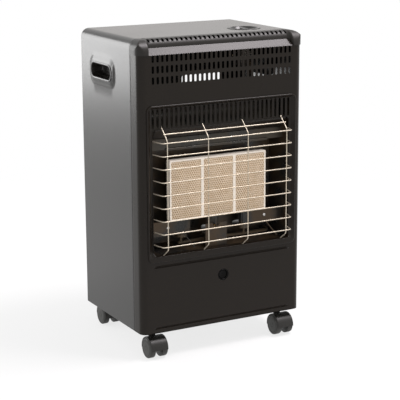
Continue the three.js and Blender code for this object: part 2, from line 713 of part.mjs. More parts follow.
// ---------------------------------------------------------------- front panel

const panelFootprint = (inset, rear) => filleted([
  [-SIDE + inset, rear],
  [-SIDE + inset, FRONT + inset, CORNER_BEND - inset],
  [SIDE - inset, FRONT + inset, CORNER_BEND - inset],
  [SIDE - inset, rear],
], 5);

const windowOutline = (grow) => filleted(rectangle(
  -WINDOW_HALF - grow,
  WINDOW_LOW - grow,
  WINDOW_HALF + grow,
  WINDOW_HIGH + grow,
  WINDOW_ROUND + grow,
), 4);

// Everything above the leaning strip, pulled in by the sheet's thickness for the inner face.
function strippedCorner(inset) {
  const fold = FOLD - inset * Math.SQRT2;
  const low = [FRONT - BEYOND, fold - BEYOND];
  const high = [FRONT + STRIP + 2 * BEYOND, fold + STRIP + 2 * BEYOND];
  const outline = [low, high, [FRONT - BEYOND, high[1]]].map(([y, z]) => new THREE.Vector2(y, z));
  return prism('x', outline, -SIDE - BEYOND, SIDE + BEYOND);
}

const bead = (height, inset) => rod(
  [-BEAD_SPAN / 2, FRONT + BEAD_DEPTH - BEAD_RADIUS, height],
  [BEAD_SPAN / 2, FRONT + BEAD_DEPTH - BEAD_RADIUS, height],
  BEAD_RADIUS + inset,
  12,
);

const uprightSlot = (x, z, height) => filleted(rectangle(
  x - VENT_WIDTH / 2,
  z - height / 2,
  x + VENT_WIDTH / 2,
  z + height / 2,
));

function frontPanel() {
  const top = FOLD + STRIP;
  let outer = prism('z', panelFootprint(0, SEAM), SKIRT, top);
  let inner = prism('z', panelFootprint(SHEET, SEAM + BEYOND), SKIRT - BEYOND, top - SHEET);
  outer = outer.subtract(strippedCorner(0));
  inner = inner.subtract(strippedCorner(SHEET));
  for (const height of BEAD_HEIGHTS) {
    outer = outer.subtract(bead(height, 0));
    inner = inner.subtract(bead(height, SHEET));
  }
  const footSheet = prism('z', panelFootprint(0, SEAM), SKIRT, SKIRT + SHEET);
  const footHole = prism('z', panelFootprint(FOOT_FLANGE, SEAM + BEYOND), SKIRT - BEYOND, SKIRT + BEYOND);
  const lid = box(
    -SIDE + SHEET,
    SIDE - SHEET,
    FRONT + STRIP + STRIP_FLANGE,
    SEAM + BEYOND,
    top - BEYOND,
    top + BEYOND,
  );
  let panel = outer.subtract(inner).add(footSheet.subtract(footHole)).subtract(lid);
  const bendStart = HEIGHT - TOP_BEND - TRIM_PROUD;
  for (const side of [-1, 1]) {
    const middle = side * SIDE;
    panel = panel.subtract(box(
      middle - 2 * BEYOND, middle + 2 * BEYOND, FRONT - BEYOND, SEAM + BEYOND, bendStart, top + BEYOND,
    ));
  }
  panel = panel.subtract(prism('y', windowOutline(SHEET), FRONT - BEYOND, FRONT + BEYOND));
  panel = panel.add(prism('y', windowOutline(SHEET), FRONT, FRONT + WINDOW_RETURN, [windowOutline(0)]));
  for (let row = 0; row < VENT_ROWS; row += 1) {
    for (const x of spread(VENT_COUNT, VENT_SPAN)) {
      const slot = uprightSlot(x, VENT_LOW_ROW + row * VENT_ROW_PITCH, VENT_HEIGHT);
      panel = panel.subtract(prism('y', slot, FRONT - BEYOND, FRONT + BEYOND));
    }
  }
  const hole = rod([0, FRONT - BEYOND, BUTTON_Z], [0, FRONT + BEYOND, BUTTON_Z], BUTTON_HOLE / 2, 24);
  return panel.subtract(hole);
}

// ---------------------------------------------------------------- top front trim

// The trim's outer form, or its inner form when pulled in by the wall.
function trimForm(inset) {
  const half = SIDE + TRIM_PROUD - inset;
  const rear = inset > 0 ? SEAM + BEYOND : SEAM;
  const foot = inset > 0 ? FOLD - BEYOND : FOLD;
  const face = FRONT - TRIM_PROUD + inset;
  const top = HEIGHT - inset;
  const plan = filleted([
    [-half, rear],
    [-half, face, CORNER_BEND + TRIM_PROUD - inset],
    [half, face, CORNER_BEND + TRIM_PROUD - inset],
    [half, rear],
  ], 4);
  const elevation = filleted([
    [-half, foot],
    [half, foot],
    [half, top, TOP_BEND + TRIM_PROUD - inset],
    [-half, top, TOP_BEND + TRIM_PROUD - inset],
  ], 5);
  const profile = filleted([
    [face, foot],
    [rear, foot],
    [rear, top],
    [face, top, EAR_ROUND - inset],
  ], 4);
  const form = prism('z', plan, foot, top)
    .intersect(prism('y', elevation, face, rear))
    .intersect(prism('x', profile, -half, half));
  const nose = FRONT + NOSE_SETBACK + inset;
  const behindNose = nose + NOSE_ROUND + BEYOND;
  const aheadOfNose = filleted([
    [nose, foot - BEYOND],
    [nose, top, NOSE_ROUND - inset],
    [behindNose, top],
    [behindNose, top + BEYOND],
    [face - BEYOND, top + BEYOND],
    [face - BEYOND, foot - BEYOND],
  ], 4);
  const between = EAR_INNER + inset;
  return form.subtract(prism('x', aheadOfNose, -between, between));
}

function topFrontTrim() {
  let trim = trimForm(0).subtract(trimForm(TRIM_WALL));
  const stripRoom = [
    [FRONT - SEAT, FOLD - BEYOND],
    [SEAM + BEYOND, FOLD - BEYOND],
    [SEAM + BEYOND, FOLD + STRIP + SEAT],
    [FRONT + STRIP, FOLD + STRIP + SEAT],
    [FRONT - SEAT, FOLD + SEAT],
  ].map(([y, z]) => new THREE.Vector2(y, z));
  const roomHalf = EAR_INNER + TRIM_WALL + SEAT;
  trim = trim.subtract(prism('x', stripRoom, -roomHalf, roomHalf));
  const angle = THREE.MathUtils.degToRad(NOSE_VENT_ANGLE);
  const middle = NOSE_ROUND - TRIM_WALL / 2;
  const y = FRONT + NOSE_SETBACK + NOSE_ROUND - middle * Math.sin(angle);
  const z = HEIGHT - NOSE_ROUND + middle * Math.cos(angle);
  for (const x of spread(VENT_COUNT, VENT_SPAN)) {
    const vent = new THREE.BoxGeometry(VENT_WIDTH, NOSE_VENT_LENGTH, 2 * BEYOND);
    vent.rotateX(angle);
    trim = trim.subtract(solid(vent.translate(x, y, z)));
  }
  return trim;
}

// ---------------------------------------------------------------- heater bezel

function heaterBezel() {
  const outline = (grow) => windowOutline(grow - SEAT);
  const opening = (grow) => filleted(rectangle(
    -BEZEL_OPEN_HALF - grow,
    BEZEL_OPEN_LOW - grow,
    BEZEL_OPEN_HALF + grow,
    BEZEL_OPEN_HIGH + grow,
    BEZEL_OPEN_ROUND + grow,
  ));
  const plateBack = BEZEL_Y + BEZEL_SHEET;
  let bezel = prism('y', outline(0), BEZEL_Y, plateBack, [opening(BEZEL_SHEET)]);
  const edge = prism('y', outline(0), BEZEL_Y, BEZEL_Y + BEZEL_RETURN, [outline(-BEZEL_SHEET)]);
  bezel = bezel.add(edge);
  const inner = prism('y', opening(BEZEL_SHEET), BEZEL_Y, BEZEL_Y + BEZEL_INNER_RETURN, [opening(0)]);
  const topReturn = box(
    -WINDOW_HALF,
    WINDOW_HALF,
    plateBack,
    BEZEL_Y + BEZEL_INNER_RETURN + BEYOND,
    BEZEL_OPEN_HIGH - BEZEL_OPEN_ROUND,
    BEZEL_OPEN_HIGH + BEYOND,
  );
  bezel = bezel.add(inner.subtract(topReturn));
  const visorHalf = BEZEL_OPEN_HALF - BEZEL_OPEN_ROUND;
  const visor = [
    [BEZEL_Y, BEZEL_OPEN_HIGH + BEZEL_SHEET],
    [BEZEL_Y, BEZEL_OPEN_HIGH - BEZEL_SHEET],
    [BEZEL_Y + VISOR_REACH, BEZEL_OPEN_HIGH - VISOR_DROP],
    [BEZEL_Y + VISOR_REACH + BEZEL_SHEET, BEZEL_OPEN_HIGH - VISOR_DROP + BEZEL_SHEET],
  ].map(([y, z]) => new THREE.Vector2(y, z));
  bezel = bezel.add(prism('x', visor, -visorHalf, visorHalf));
  for (const x of spread(VENT_COUNT, VENT_SPAN)) {
    const slot = uprightSlot(x, TALL_VENT_MID, TALL_VENT_HEIGHT);
    bezel = bezel.subtract(prism('y', slot, BEZEL_Y - BEYOND, plateBack + BEYOND));
  }
  return bezel;
}

// ---------------------------------------------------------------- burner chamber

// The chamber's form, pulled in by the given distance on every wall.
function chamberForm(inset, mouth = 0) {
  const front = filleted(rectangle(
    -CHAMBER_HALF + inset,
    CHAMBER_LOW + inset,
    CHAMBER_HALF - inset,
    CHAMBER_HIGH - inset,
  ));
  const back = filleted(rectangle(
    -CHAMBER_HALF + CHAMBER_TAPER + inset,
    CHAMBER_LOW + CHAMBER_FLOOR_RISE + inset,
    CHAMBER_HALF - CHAMBER_TAPER - inset,
    CHAMBER_HIGH + CHAMBER_ROOF_RISE - inset,
  ));
  return taper(front, CHAMBER_Y - mouth, back, CHAMBER_BACK - inset);
}

function burnerChamber() {
  let chamber = chamberForm(0).subtract(chamberForm(SHEET, MOUTH_OVERRUN));
  const pipeHole = (x, z, radius) => rod(
    [x, CHAMBER_BACK - BEYOND, z],
    [x, CHAMBER_BACK + BEYOND, z],
    radius,
    12,
  );
  const airSlot = (x) => prism('y', filleted(rectangle(
    x - COLUMN_PITCH / 4,
    MIXER_LOW,
    x + COLUMN_PITCH / 4,
    MIXER_LOW + MIXER_RADIUS,
    MIXER_RADIUS / 3,
  ), 2), CHAMBER_BACK - BEYOND, CHAMBER_BACK + BEYOND);
  chamber = cut(
    chamber,
    pipeHole(FEED_X, RAIL_Z + PIPE_RADIUS, PIPE_RADIUS + PIPE_HOLE_PLAY),
    pipeHole(PILOT_PIPE_X, PILOT_PIPE_Z, PILOT_PIPE_RADIUS + PIPE_HOLE_PLAY),
  );
  for (const x of spread(BURNER_COUNT, 2 * COLUMN_PITCH)) {
    chamber = chamber.subtract(airSlot(x + COLUMN_PITCH / 2 - PLAQUE_WIDTH / 2));
  }
  return chamber;
}

// A curved sheet over the burner that turns the hot gas forward to the tall slots.
function topDeflector() {
  const lipY = FRONT + DEFLECTOR_LIP_SETBACK;
  const middle = [lipY - DEFLECTOR_RADIUS / 2, TALL_VENT_MID - DEFLECTOR_RADIUS / 2];
  const arc = (radius, from, to, steps) => Array.from({ length: steps + 1 }, (_, i) => {
    const angle = THREE.MathUtils.degToRad(from + (to - from) * i / steps);
    return new THREE.Vector2(middle[0] + radius * Math.cos(angle), middle[1] + radius * Math.sin(angle));
  });
  const outline = [
    new THREE.Vector2(lipY, DEFLECTOR_LIP_Z),
    ...arc(DEFLECTOR_RADIUS, DEFLECTOR_FROM, DEFLECTOR_TO, 9),
    ...arc(DEFLECTOR_RADIUS + SHEET, DEFLECTOR_TO, DEFLECTOR_FROM, 9),
    new THREE.Vector2(lipY + SHEET, DEFLECTOR_LIP_Z),
  ];
  const sheet = prism('x', outline, -CHAMBER_HALF, CHAMBER_HALF);
  const lip = rod(
    [-DEFLECTOR_LIP_HALF, lipY, DEFLECTOR_LIP_Z],
    [DEFLECTOR_LIP_HALF, lipY, DEFLECTOR_LIP_Z],
    DEFLECTOR_LIP_RADIUS,
    10,
  );
  return sheet.add(lip).intersect(chamberForm(SHEET + SEAT));
}

function bulkhead() {
  const half = SIDE - SHEET - SEAT;
  const foot = FLOOR_Z + SEAT;
  const sheet = box(-half, half, BULKHEAD_Y, BULKHEAD_Y + SHEET, foot, BULKHEAD_TOP);
  const flange = box(-half, half, BULKHEAD_Y - FOOT_FLANGE, BULKHEAD_Y + SHEET / 2, foot, foot + SHEET);
  const wing = (x) => box(x, x + SHEET, BULKHEAD_Y - FOOT_FLANGE, BULKHEAD_Y + SHEET / 2, foot, BULKHEAD_TOP);
  const inside = half - BASE_SHEET - SEAT - SHEET;
  const skirt = (side) => box(
    side * (inside + half) / 2 - (half - inside) / 2 - SEAT,
    side * (inside + half) / 2 + (half - inside) / 2 + SEAT,
    BULKHEAD_Y - 2 * FOOT_FLANGE,
    BULKHEAD_Y + BEYOND,
    foot - BEYOND,
    FLOOR_Z + BASE_UPSTAND + SEAT,
  );
  return cut(join(sheet, flange, wing(-half), wing(half - SHEET)), skirt(-1), skirt(1));
}

// ---------------------------------------------------------------- burner

function plaqueFrame() {
  const face = FRONT + BURNER_SETBACK;
  const outline = (inset) => filleted(rectangle(
    -BURNER_WIDTH / 2 + inset,
    BURNER_LOW + inset,
    BURNER_WIDTH / 2 - inset,
    BURNER_HIGH - inset,
    FRAME_CORNER - inset,
  ), 2);
  const windows = burnerColumns().map((x) => box(
    x - PLAQUE_WIDTH / 2,
    x + PLAQUE_WIDTH / 2,
    face - BEYOND,
    face + BEYOND,
    BURNER_MID - PLAQUE_HEIGHT / 2,
    BURNER_MID + PLAQUE_HEIGHT / 2,
  ));
  const front = cut(prism('y', outline(0), face, face + SHEET - SEAT), ...windows);
  const wall = prism('y', outline(0), face, face + FRAME_DEPTH, [outline(FRAME_WALL)]);
  return front.add(wall);
}

const burnerColumns = () => spread(BURNER_COUNT, (BURNER_COUNT - 1) * COLUMN_PITCH);

function plaque(x) {
  const y = FRONT + PLAQUE_SETBACK;
  const half = (COLUMN_PITCH - SEAT) / 2 - FRAME_WALL;
  const z0 = BURNER_LOW + FRAME_WALL + SEAT;
  const z1 = BURNER_HIGH - FRAME_WALL - SEAT;
  return box(x - half, x + half, y, y + PLAQUE_THICK, z0, z1);
}

// Sheet-metal plenum, open towards its plaque, with the mixing tube below.
function burnerBody(x) {
  const half = COLUMN_PITCH / 2 - SEAT;
  const low = BURNER_LOW + FRAME_WALL + SEAT;
  const high = BURNER_HIGH - FRAME_WALL - SEAT;
  const inFrame = FRONT + BURNER_SETBACK + FRAME_DEPTH;
  const outline = (inset) => filleted(rectangle(
    x - half + inset,
    low - FRAME_WALL + inset,
    x + half - inset,
    high + FRAME_WALL - inset,
    PLENUM_ROUND,
  ), 2);
  const pan = (wall, mouth) => join(
    prism('y', outline(FRAME_WALL + wall), PLENUM_Y - mouth, inFrame),
    taper(
      outline(FRAME_WALL + wall),
      inFrame,
      outline(PLENUM_TAPER + wall),
      PLENUM_Y + PLENUM_DEPTH - wall,
    ),
  );
  const throatTop = low + 2 * PLENUM_TAPER;
  const upright = (z0, z1, radius, endRadius) =>
    rod([x, MIXER_Y, z0], [x, MIXER_Y, z1], radius, 12, endRadius);
  const throat = upright(MIXER_LOW + MIXER_FLARE - 2, throatTop, MIXER_RADIUS);
  const mouth = upright(MIXER_LOW, MIXER_LOW + MIXER_FLARE, MIXER_MOUTH, MIXER_RADIUS);
  const bore = upright(MIXER_LOW - BEYOND, throatTop - FRAME_WALL, MIXER_RADIUS - FRAME_WALL);
  return cut(join(pan(0, 0), throat, mouth), pan(FRAME_WALL, BEYOND), bore);
}

// Sheet bracket from the chamber's side wall to below the burner, with a thin forward stay.
function burnerBracket(side) {
  const y = FRONT + BRACKET_SETBACK;
  const reach = [side * BRACKET_INNER, side * CHAMBER_HALF];
  const [x0, x1] = [Math.min(...reach), Math.max(...reach)];
  const plate = box(x0, x1, y, y + BRACKET_SHEET, BRACKET_LOW, BRACKET_HIGH);
  const top = BURNER_LOW - SEAT;
  const shelf = box(x0, x1, y, FRONT + BURNER_SETBACK + FRAME_DEPTH, top - BRACKET_SHEET, top);
  const web = box(x0, x1, y, y + BRACKET_SHEET, BRACKET_HIGH - BRACKET_SHEET, top);
  const clear = burnerColumns().map((x) => rod(
    [x, MIXER_Y, BRACKET_LOW - BEYOND],
    [x, MIXER_Y, BRACKET_HIGH + 2 * BEYOND],
    MIXER_RADIUS + RUNNING_GAP + SEAT,
    16,
  ));
  const stayX = STAY_PLACES[side < 0 ? 0 : 1];
  const stay = rod(
    [stayX, y + BRACKET_SHEET / 2, BRACKET_LOW + 2],
    [stayX + STAY_LEAN, CHAMBER_Y + SEAT, BEZEL_OPEN_LOW + STAY_LEAN / 2],
    STAY_RADIUS,
    6,
  );
  return cut(join(plate, shelf, web), ...clear).add(stay).intersect(chamberForm(SHEET + SEAT));
}

// ---------------------------------------------------------------- pilot assembly

function pilotBracket() {
  const y = FRONT + PILOT_SETBACK;
  const half = PILOT_WIDTH / 2;
  const face = box(PILOT_X - half, PILOT_X + half, y, y + BRACKET_SHEET, CHAMBER_LOW, PILOT_TOP);
  const notchFrom = [PILOT_X, y - BEYOND, PILOT_TOP];
  const notch = rod(notchFrom, [PILOT_X, y + BEYOND, PILOT_TOP], PILOT_NOTCH, 16);
  const shelf = box(
    PILOT_X - half,
    PILOT_X + half,
    y,
    PILOT_Y + PILOT_LEDGE,
    PILOT_SHELF - BRACKET_SHEET,
    PILOT_SHELF,
  );
  return join(face.subtract(notch), shelf).intersect(chamberForm(SHEET + SEAT));
}

function pilotBurner() {
  const foot = PILOT_SHELF + SEAT;
  const profile = [
    [0, foot],
    [PILOT_BURNER_RADIUS, foot],
    [PILOT_BURNER_RADIUS, foot + PILOT_HEIGHT / 2],
    [PILOT_TUBE_RADIUS, foot + PILOT_HEIGHT / 2 + PILOT_SHOULDER],
    [PILOT_TUBE_RADIUS, foot + PILOT_HEIGHT],
    [PILOT_BORE_RADIUS, foot + PILOT_HEIGHT],
    [PILOT_BORE_RADIUS, foot + PILOT_HEIGHT - PILOT_BORE_DEPTH],
    [0, foot + PILOT_HEIGHT - PILOT_BORE_DEPTH],
  ];
  return turned(profile, 12).translate([PILOT_X, PILOT_Y, 0]);
}

// Electrode or thermocouple: a thick body with a thin tip on top.
function probe(x, thick, thin) {
  const foot = PILOT_SHELF + SEAT;
  const shoulder = foot + PILOT_HEIGHT * PROBE_BODY_SHARE;
  const body = rod([x, PILOT_Y, foot], [x, PILOT_Y, shoulder], thick, 8);
  const tip = rod([x, PILOT_Y, foot + PILOT_HEIGHT / 2], [x, PILOT_Y, foot + PILOT_HEIGHT], thin, 6);
  return body.add(tip);
}

// ---------------------------------------------------------------- gas train

function gasManifold() {
  const y = MIXER_Y;
  const left = burnerColumns()[0];
  const outlet = KNOB_Y - VALVE_SIZE / 2 - SEAT;
  const railPipe = bentRod([
    [left - RAIL_END, y, RAIL_Z],
    [FEED_X, y, RAIL_Z],
    [FEED_X, y + RAIL_STEP, RAIL_Z + PIPE_RADIUS],
    [FEED_X, PIPE_Y, RAIL_Z + PIPE_RADIUS],
    [FEED_X, PIPE_Y, RAIL_Z + FEED_JOG_LOW],
    [KNOB_X, PIPE_Y, RAIL_Z + FEED_JOG_HIGH],
    [KNOB_X, PIPE_Y, VALVE_LOW + FEED_Z],
    [KNOB_X, outlet, VALVE_LOW + FEED_Z],
  ], PIPE_RADIUS, PIPE_BEND);
  const jets = burnerColumns().map((x) => rod(
    [x, y, RAIL_Z],
    [x, y, MIXER_LOW + JET_ENTRY],
    JET_RADIUS,
    6,
    JET_TIP,
  ));
  return join(railPipe, ...jets);
}

function pilotPipe() {
  const x = KNOB_X - VALVE_SIZE / 2 + PILOT_TAP_X;
  const z = VALVE_LOW + PILOT_TAP_Z;
  return bentRod([
    [x, KNOB_Y - VALVE_SIZE / 2 - SEAT, z],
    [x, PIPE_Y, z],
    [x, PIPE_Y, PILOT_PIPE_Z],
    [PILOT_PIPE_X, PIPE_Y, PILOT_PIPE_Z],
    [PILOT_PIPE_X, PILOT_Y + PILOT_BURNER_RADIUS, PILOT_PIPE_Z],
  ], PILOT_PIPE_RADIUS, PILOT_PIPE_BEND);
}

function gasValve() {
  const half = VALVE_SIZE / 2;
  const block = prism('z', filleted(rectangle(
    KNOB_X - half,
    KNOB_Y - half,
    KNOB_X + half,
    KNOB_Y + half,
    VALVE_ROUND,
  ), 2), VALVE_LOW, VALVE_TOP - VALVE_NECK);
  const neckFoot = [KNOB_X, KNOB_Y, VALVE_TOP - VALVE_NECK - SHEET];
  const neck = rod(neckFoot, [KNOB_X, KNOB_Y, VALVE_TOP - SEAT], VALVE_NECK_RADIUS, 20);
  const bore = rod(
    [KNOB_X, KNOB_Y, VALVE_TOP - 2 * VALVE_BORE],
    [KNOB_X, KNOB_Y, VALVE_TOP + BEYOND],
    COLLAR_RADIUS + RUNNING_GAP,
    20,
  );
  return block.add(neck).subtract(bore);
}

function valveBracket() {
  const half = VALVE_SIZE / 2 + VALVE_PLATE_MARGIN;
  const under = HEIGHT - SHEET - SEAT;
  const plate = box(
    KNOB_X - half, KNOB_X + half, KNOB_Y - half, KNOB_Y + half, VALVE_TOP, VALVE_TOP + BRACKET_SHEET,
  );
  const leg = (y) => box(
    KNOB_X - half, KNOB_X + half, y, y + BRACKET_SHEET, VALVE_TOP, under,
  );
  const foot = (y0, y1) => box(
    KNOB_X - half, KNOB_X + half, y0, y1, under - BRACKET_SHEET, under,
  );
  const hole = rod(
    [KNOB_X, KNOB_Y, VALVE_TOP - BEYOND],
    [KNOB_X, KNOB_Y, VALVE_TOP + BEYOND],
    COLLAR_RADIUS + RUNNING_GAP,
    20,
  );
  const window = box(
    KNOB_X - half + BRACKET_RIM,
    KNOB_X + half - BRACKET_RIM,
    KNOB_Y - 2 * half,
    KNOB_Y + 2 * half,
    VALVE_TOP + BRACKET_RIM,
    under - BRACKET_RIM,
  );
  const legs = join(leg(KNOB_Y - half), leg(KNOB_Y + half - BRACKET_SHEET)).subtract(window);
  const feet = join(
    foot(KNOB_Y - half - BRACKET_FOOT, KNOB_Y - half + BRACKET_SHEET / 2),
    foot(KNOB_Y + half - BRACKET_SHEET / 2, KNOB_Y + half + BRACKET_FOOT),
  );
  return join(plate.subtract(hole), legs, feet).subtract(dialClearance());
}

// Room round the dial's well, so that the bracket's feet stay clear of it.
const dialClearance = () => rod(
  [KNOB_X, KNOB_Y, DIAL_FLOOR - 3],
  [KNOB_X, KNOB_Y, HEIGHT],
  DIAL_RADIUS - 2,
  24,
);

// Ribbed nozzle where the gas hose is pushed on.
function inletNozzle() {
  const y = KNOB_Y + VALVE_SIZE / 2 + SEAT;
  const profile = [[0, 0], [NOZZLE_HEX, 0], [NOZZLE_HEX, NOZZLE_FOOT], [NOZZLE_NECK, NOZZLE_FOOT]];
  for (let rib = 0; rib < NOZZLE_RIBS; rib += 1) {
    const start = (1.5 + rib) * NOZZLE_RIB_PITCH;
    profile.push([NOZZLE_RIB, start], [NOZZLE_NECK, start + NOZZLE_RIB_PITCH - SEAT]);
  }
  profile.push(
    [NOZZLE_NECK, NOZZLE_LENGTH],
    [NOZZLE_BORE, NOZZLE_LENGTH],
    [NOZZLE_BORE, NOZZLE_FOOT],
    [0, NOZZLE_FOOT],
  );
  const body = turned(profile, 10).rotate([-90, 0, 0]);
  return body.translate([KNOB_X, y, VALVE_LOW + NOZZLE_Z]);
}

// ---------------------------------------------------------------- control knob

function knobDial() {
  const lip = HEIGHT + SEAT + DIAL_LIP;
  const under = HEIGHT + SEAT;
  const hub = COLLAR_RADIUS + RUNNING_GAP;
  const slope = DIAL_RADIUS - DIAL_RIM;
  const profile = [
    [hub, DIAL_FLOOR],
    [hub, DIAL_FLOOR - DIAL_WALL],
    [DIAL_WELL + DIAL_WALL, DIAL_FLOOR - DIAL_WALL],
    [DIAL_WELL + DIAL_WALL, DIAL_FLOOR + DIAL_STEP],
    [slope, under - DIAL_WALL],
    [slope, under],
    [DIAL_RADIUS, under],
    [DIAL_RADIUS - DIAL_LIP, lip],
    [slope + DIAL_LIP, lip],
    [DIAL_WELL, DIAL_FLOOR + DIAL_STEP + DIAL_LIP],
    [DIAL_WELL, DIAL_FLOOR],
    [hub, DIAL_FLOOR],
  ];
  return turned(profile, 20).translate([KNOB_X, KNOB_Y, 0]);
}

function knob() {
  const foot = DIAL_FLOOR + KNOB_TRAVEL + RUNNING_GAP;
  const top = HEIGHT + DIAL_LIP;
  const bore = SPINDLE_RADIUS + SEAT;
  const disc = turned([
    [0, foot + KNOB_BASE - KNOB_SOCKET],
    [bore, foot + KNOB_BASE - KNOB_SOCKET],
    [bore, foot],
    [KNOB_RADIUS, foot],
    [KNOB_RADIUS, foot + KNOB_BASE - KNOB_SKIRT],
    [KNOB_RADIUS - KNOB_CROWN / 4, foot + KNOB_BASE - KNOB_SKIRT / 3],
    [KNOB_RADIUS - KNOB_CROWN, foot + KNOB_BASE],
    [0, foot + KNOB_BASE],
  ], 20);
  const half = KNOB_GRIP_WIDTH / 2;
  const grip = prism('x', filleted([
    [-KNOB_RADIUS + KNOB_CROWN / 2, foot + KNOB_BASE - KNOB_SKIRT / 2],
    [KNOB_RADIUS - KNOB_CROWN / 2, foot + KNOB_BASE - KNOB_SKIRT / 2],
    [KNOB_RADIUS - KNOB_SKIRT, top, KNOB_CROWN],
    [-KNOB_RADIUS + KNOB_SKIRT, top, KNOB_CROWN],
  ], 2), -half, half);
  return disc.add(grip).translate([KNOB_X, KNOB_Y, 0]);
}

function knobSpindle() {
  const foot = VALVE_TOP - VALVE_BORE;
  const head = DIAL_FLOOR + KNOB_TRAVEL + RUNNING_GAP + KNOB_BASE - KNOB_SOCKET - SEAT;
  const seat = VALVE_TOP + COLLAR_HEIGHT + SEAT;
  return join(
    rod([KNOB_X, KNOB_Y, foot], [KNOB_X, KNOB_Y, head], SPINDLE_RADIUS - SEAT, 12),
    rod([KNOB_X, KNOB_Y, seat], [KNOB_X, KNOB_Y, seat + 3], SPINDLE_RADIUS + 2, 12),
  );
}

// Thrust collar that slides with the knob when it is pressed, but does not turn.
function thrustCollar() {
  const ring = rod(
    [KNOB_X, KNOB_Y, VALVE_TOP - 2],
    [KNOB_X, KNOB_Y, VALVE_TOP + COLLAR_HEIGHT],
    COLLAR_RADIUS,
    20,
  );
  const hole = rod(
    [KNOB_X, KNOB_Y, VALVE_TOP - BEYOND],
    [KNOB_X, KNOB_Y, VALVE_TOP + 2 * BEYOND],
    SPINDLE_RADIUS + SEAT,
    12,
  );
  return ring.subtract(hole);
}

// ---------------------------------------------------------------- ignition button

const alongY = (body) => body.rotate([-90, 0, 0]).translate([0, 0, BUTTON_Z]);

function buttonBezel() {
  const outer = BUTTON_HOLE / 2 - SEAT;
  const bore = BUTTON_RADIUS + RUNNING_GAP;
  const face = FRONT - SEAT;
  return alongY(turned([
    [bore, face + RING_FLARE],
    [outer - RING_EDGE, face],
    [outer, face + RING_EDGE],
    [outer, face + RING_DEPTH],
    [bore, face + RING_DEPTH],
    [bore, face + RING_FLARE],
  ], 20));
}

function ignitionButton() {
  const face = FRONT + BUTTON_RECESS;
  return alongY(turned([
    [0, face + 2 * BUTTON_DISH],
    [BUTTON_RADIUS - 2 * RING_EDGE, face + BUTTON_DISH],
    [BUTTON_RADIUS - RING_EDGE, face],
    [BUTTON_RADIUS, face + RING_EDGE],
    [BUTTON_RADIUS, face + BUTTON_LENGTH],
    [0, face + BUTTON_LENGTH],
  ], 20));
}

function piezoUnit() {
  const front = FRONT + RING_DEPTH;
  const bore = BUTTON_RADIUS + RUNNING_GAP;
  const floor = FRONT + BUTTON_RECESS + BUTTON_LENGTH + BUTTON_TRAVEL + RUNNING_GAP;
  return alongY(turned([
    [0, floor],
    [bore, floor],
    [bore, front],
    [bore + IGNITER_NUT, front],
    [bore + IGNITER_NUT, front + IGNITER_NUT_DEPTH],
    [bore + IGNITER_WALL, front + IGNITER_NUT_DEPTH],
    [bore + IGNITER_WALL, floor + IGNITER_BODY],
    [IGNITER_TAIL_RADIUS, floor + IGNITER_BODY + IGNITER_WALL],
    [IGNITER_TAIL_RADIUS, floor + IGNITER_BODY + IGNITER_TAIL],
    [0, floor + IGNITER_BODY + IGNITER_TAIL],
  ], 14));
}

// ---------------------------------------------------------------- wire guard

function wireGuard() {
  const wires = [];
  const endHalf = BEZEL_OPEN_HALF - WIRE_RADIUS - SEAT;
  const endY = FRONT + RUNG_END_SETBACK;
  for (let rung = 0; rung < RUNG_COUNT; rung += 1) {
    const z = RUNG_LOW + rung * RUNG_PITCH;
    wires.push(bentRod([
      [-endHalf, endY, z],
      [-RUNG_BEND_HALF, GUARD_Y, z],
      [RUNG_BEND_HALF, GUARD_Y, z],
      [endHalf, endY, z],
    ], WIRE_RADIUS, RUNG_BEND, { bendSteps: 1 }));
  }
  const uprightY = GUARD_Y + 2 * WIRE_RADIUS - WELD_DEPTH;
  const seatY = BEZEL_Y - SEAT;
  for (const x of spread(UPRIGHT_COUNT, UPRIGHT_SPAN)) {
    wires.push(bentRod([
      [x, seatY + 1, UPRIGHT_TOP_BEND + UPRIGHT_TOP_RISE],
      [x, uprightY, UPRIGHT_TOP_BEND],
      [x, uprightY, UPRIGHT_LOW_BEND],
      [x, seatY + 1, UPRIGHT_LOW_BEND - UPRIGHT_DROP],
    ], WIRE_RADIUS, UPRIGHT_BEND));
  }
  const slope = (seatY - uprightY) / UPRIGHT_TOP_RISE;
  const crossZ = UPRIGHT_TOP_BEND + UPRIGHT_TOP_RISE / 2;
  const crossY = uprightY + slope * (crossZ - UPRIGHT_TOP_BEND) - 2 * WIRE_RADIUS + WELD_DEPTH;
  const crossHalf = UPRIGHT_SPAN / 2 + 2 * WIRE_RADIUS;
  wires.push(rod([-crossHalf, crossY, crossZ], [crossHalf, crossY, crossZ], WIRE_RADIUS, 6));
  const bezelFace = box(
    -crossHalf, crossHalf, seatY, seatY + BEYOND, UPRIGHT_LOW_BEND - 2 * UPRIGHT_DROP, HEIGHT,
  );
  return join(...wires).subtract(bezelFace);
}

// ---------------------------------------------------------------- rear

function rearTopPanel() {
  const half = SIDE - SHEET - REAR_PANEL_CLEAR;
  const y = BACK - SHEET - SEAT - SHEET;
  const sheet = prism('y', filleted([
    [-half, REAR_PANEL_LOW],
    [REAR_NOTCH_LEFT, REAR_PANEL_LOW, REAR_NOTCH_ROUND / 2],
    [REAR_NOTCH_LEFT, REAR_NOTCH_TOP, REAR_NOTCH_ROUND],
    [REAR_NOTCH_RIGHT, REAR_NOTCH_TOP, REAR_NOTCH_ROUND],
    [REAR_NOTCH_RIGHT, REAR_PANEL_LOW, REAR_NOTCH_ROUND / 2],
    [half, REAR_PANEL_LOW],
    [half, HEIGHT - SHEET - SEAT, TOP_BEND],
    [-half, HEIGHT - SHEET - SEAT, TOP_BEND],
  ], 3), y, y + SHEET);
  return sheet;
}

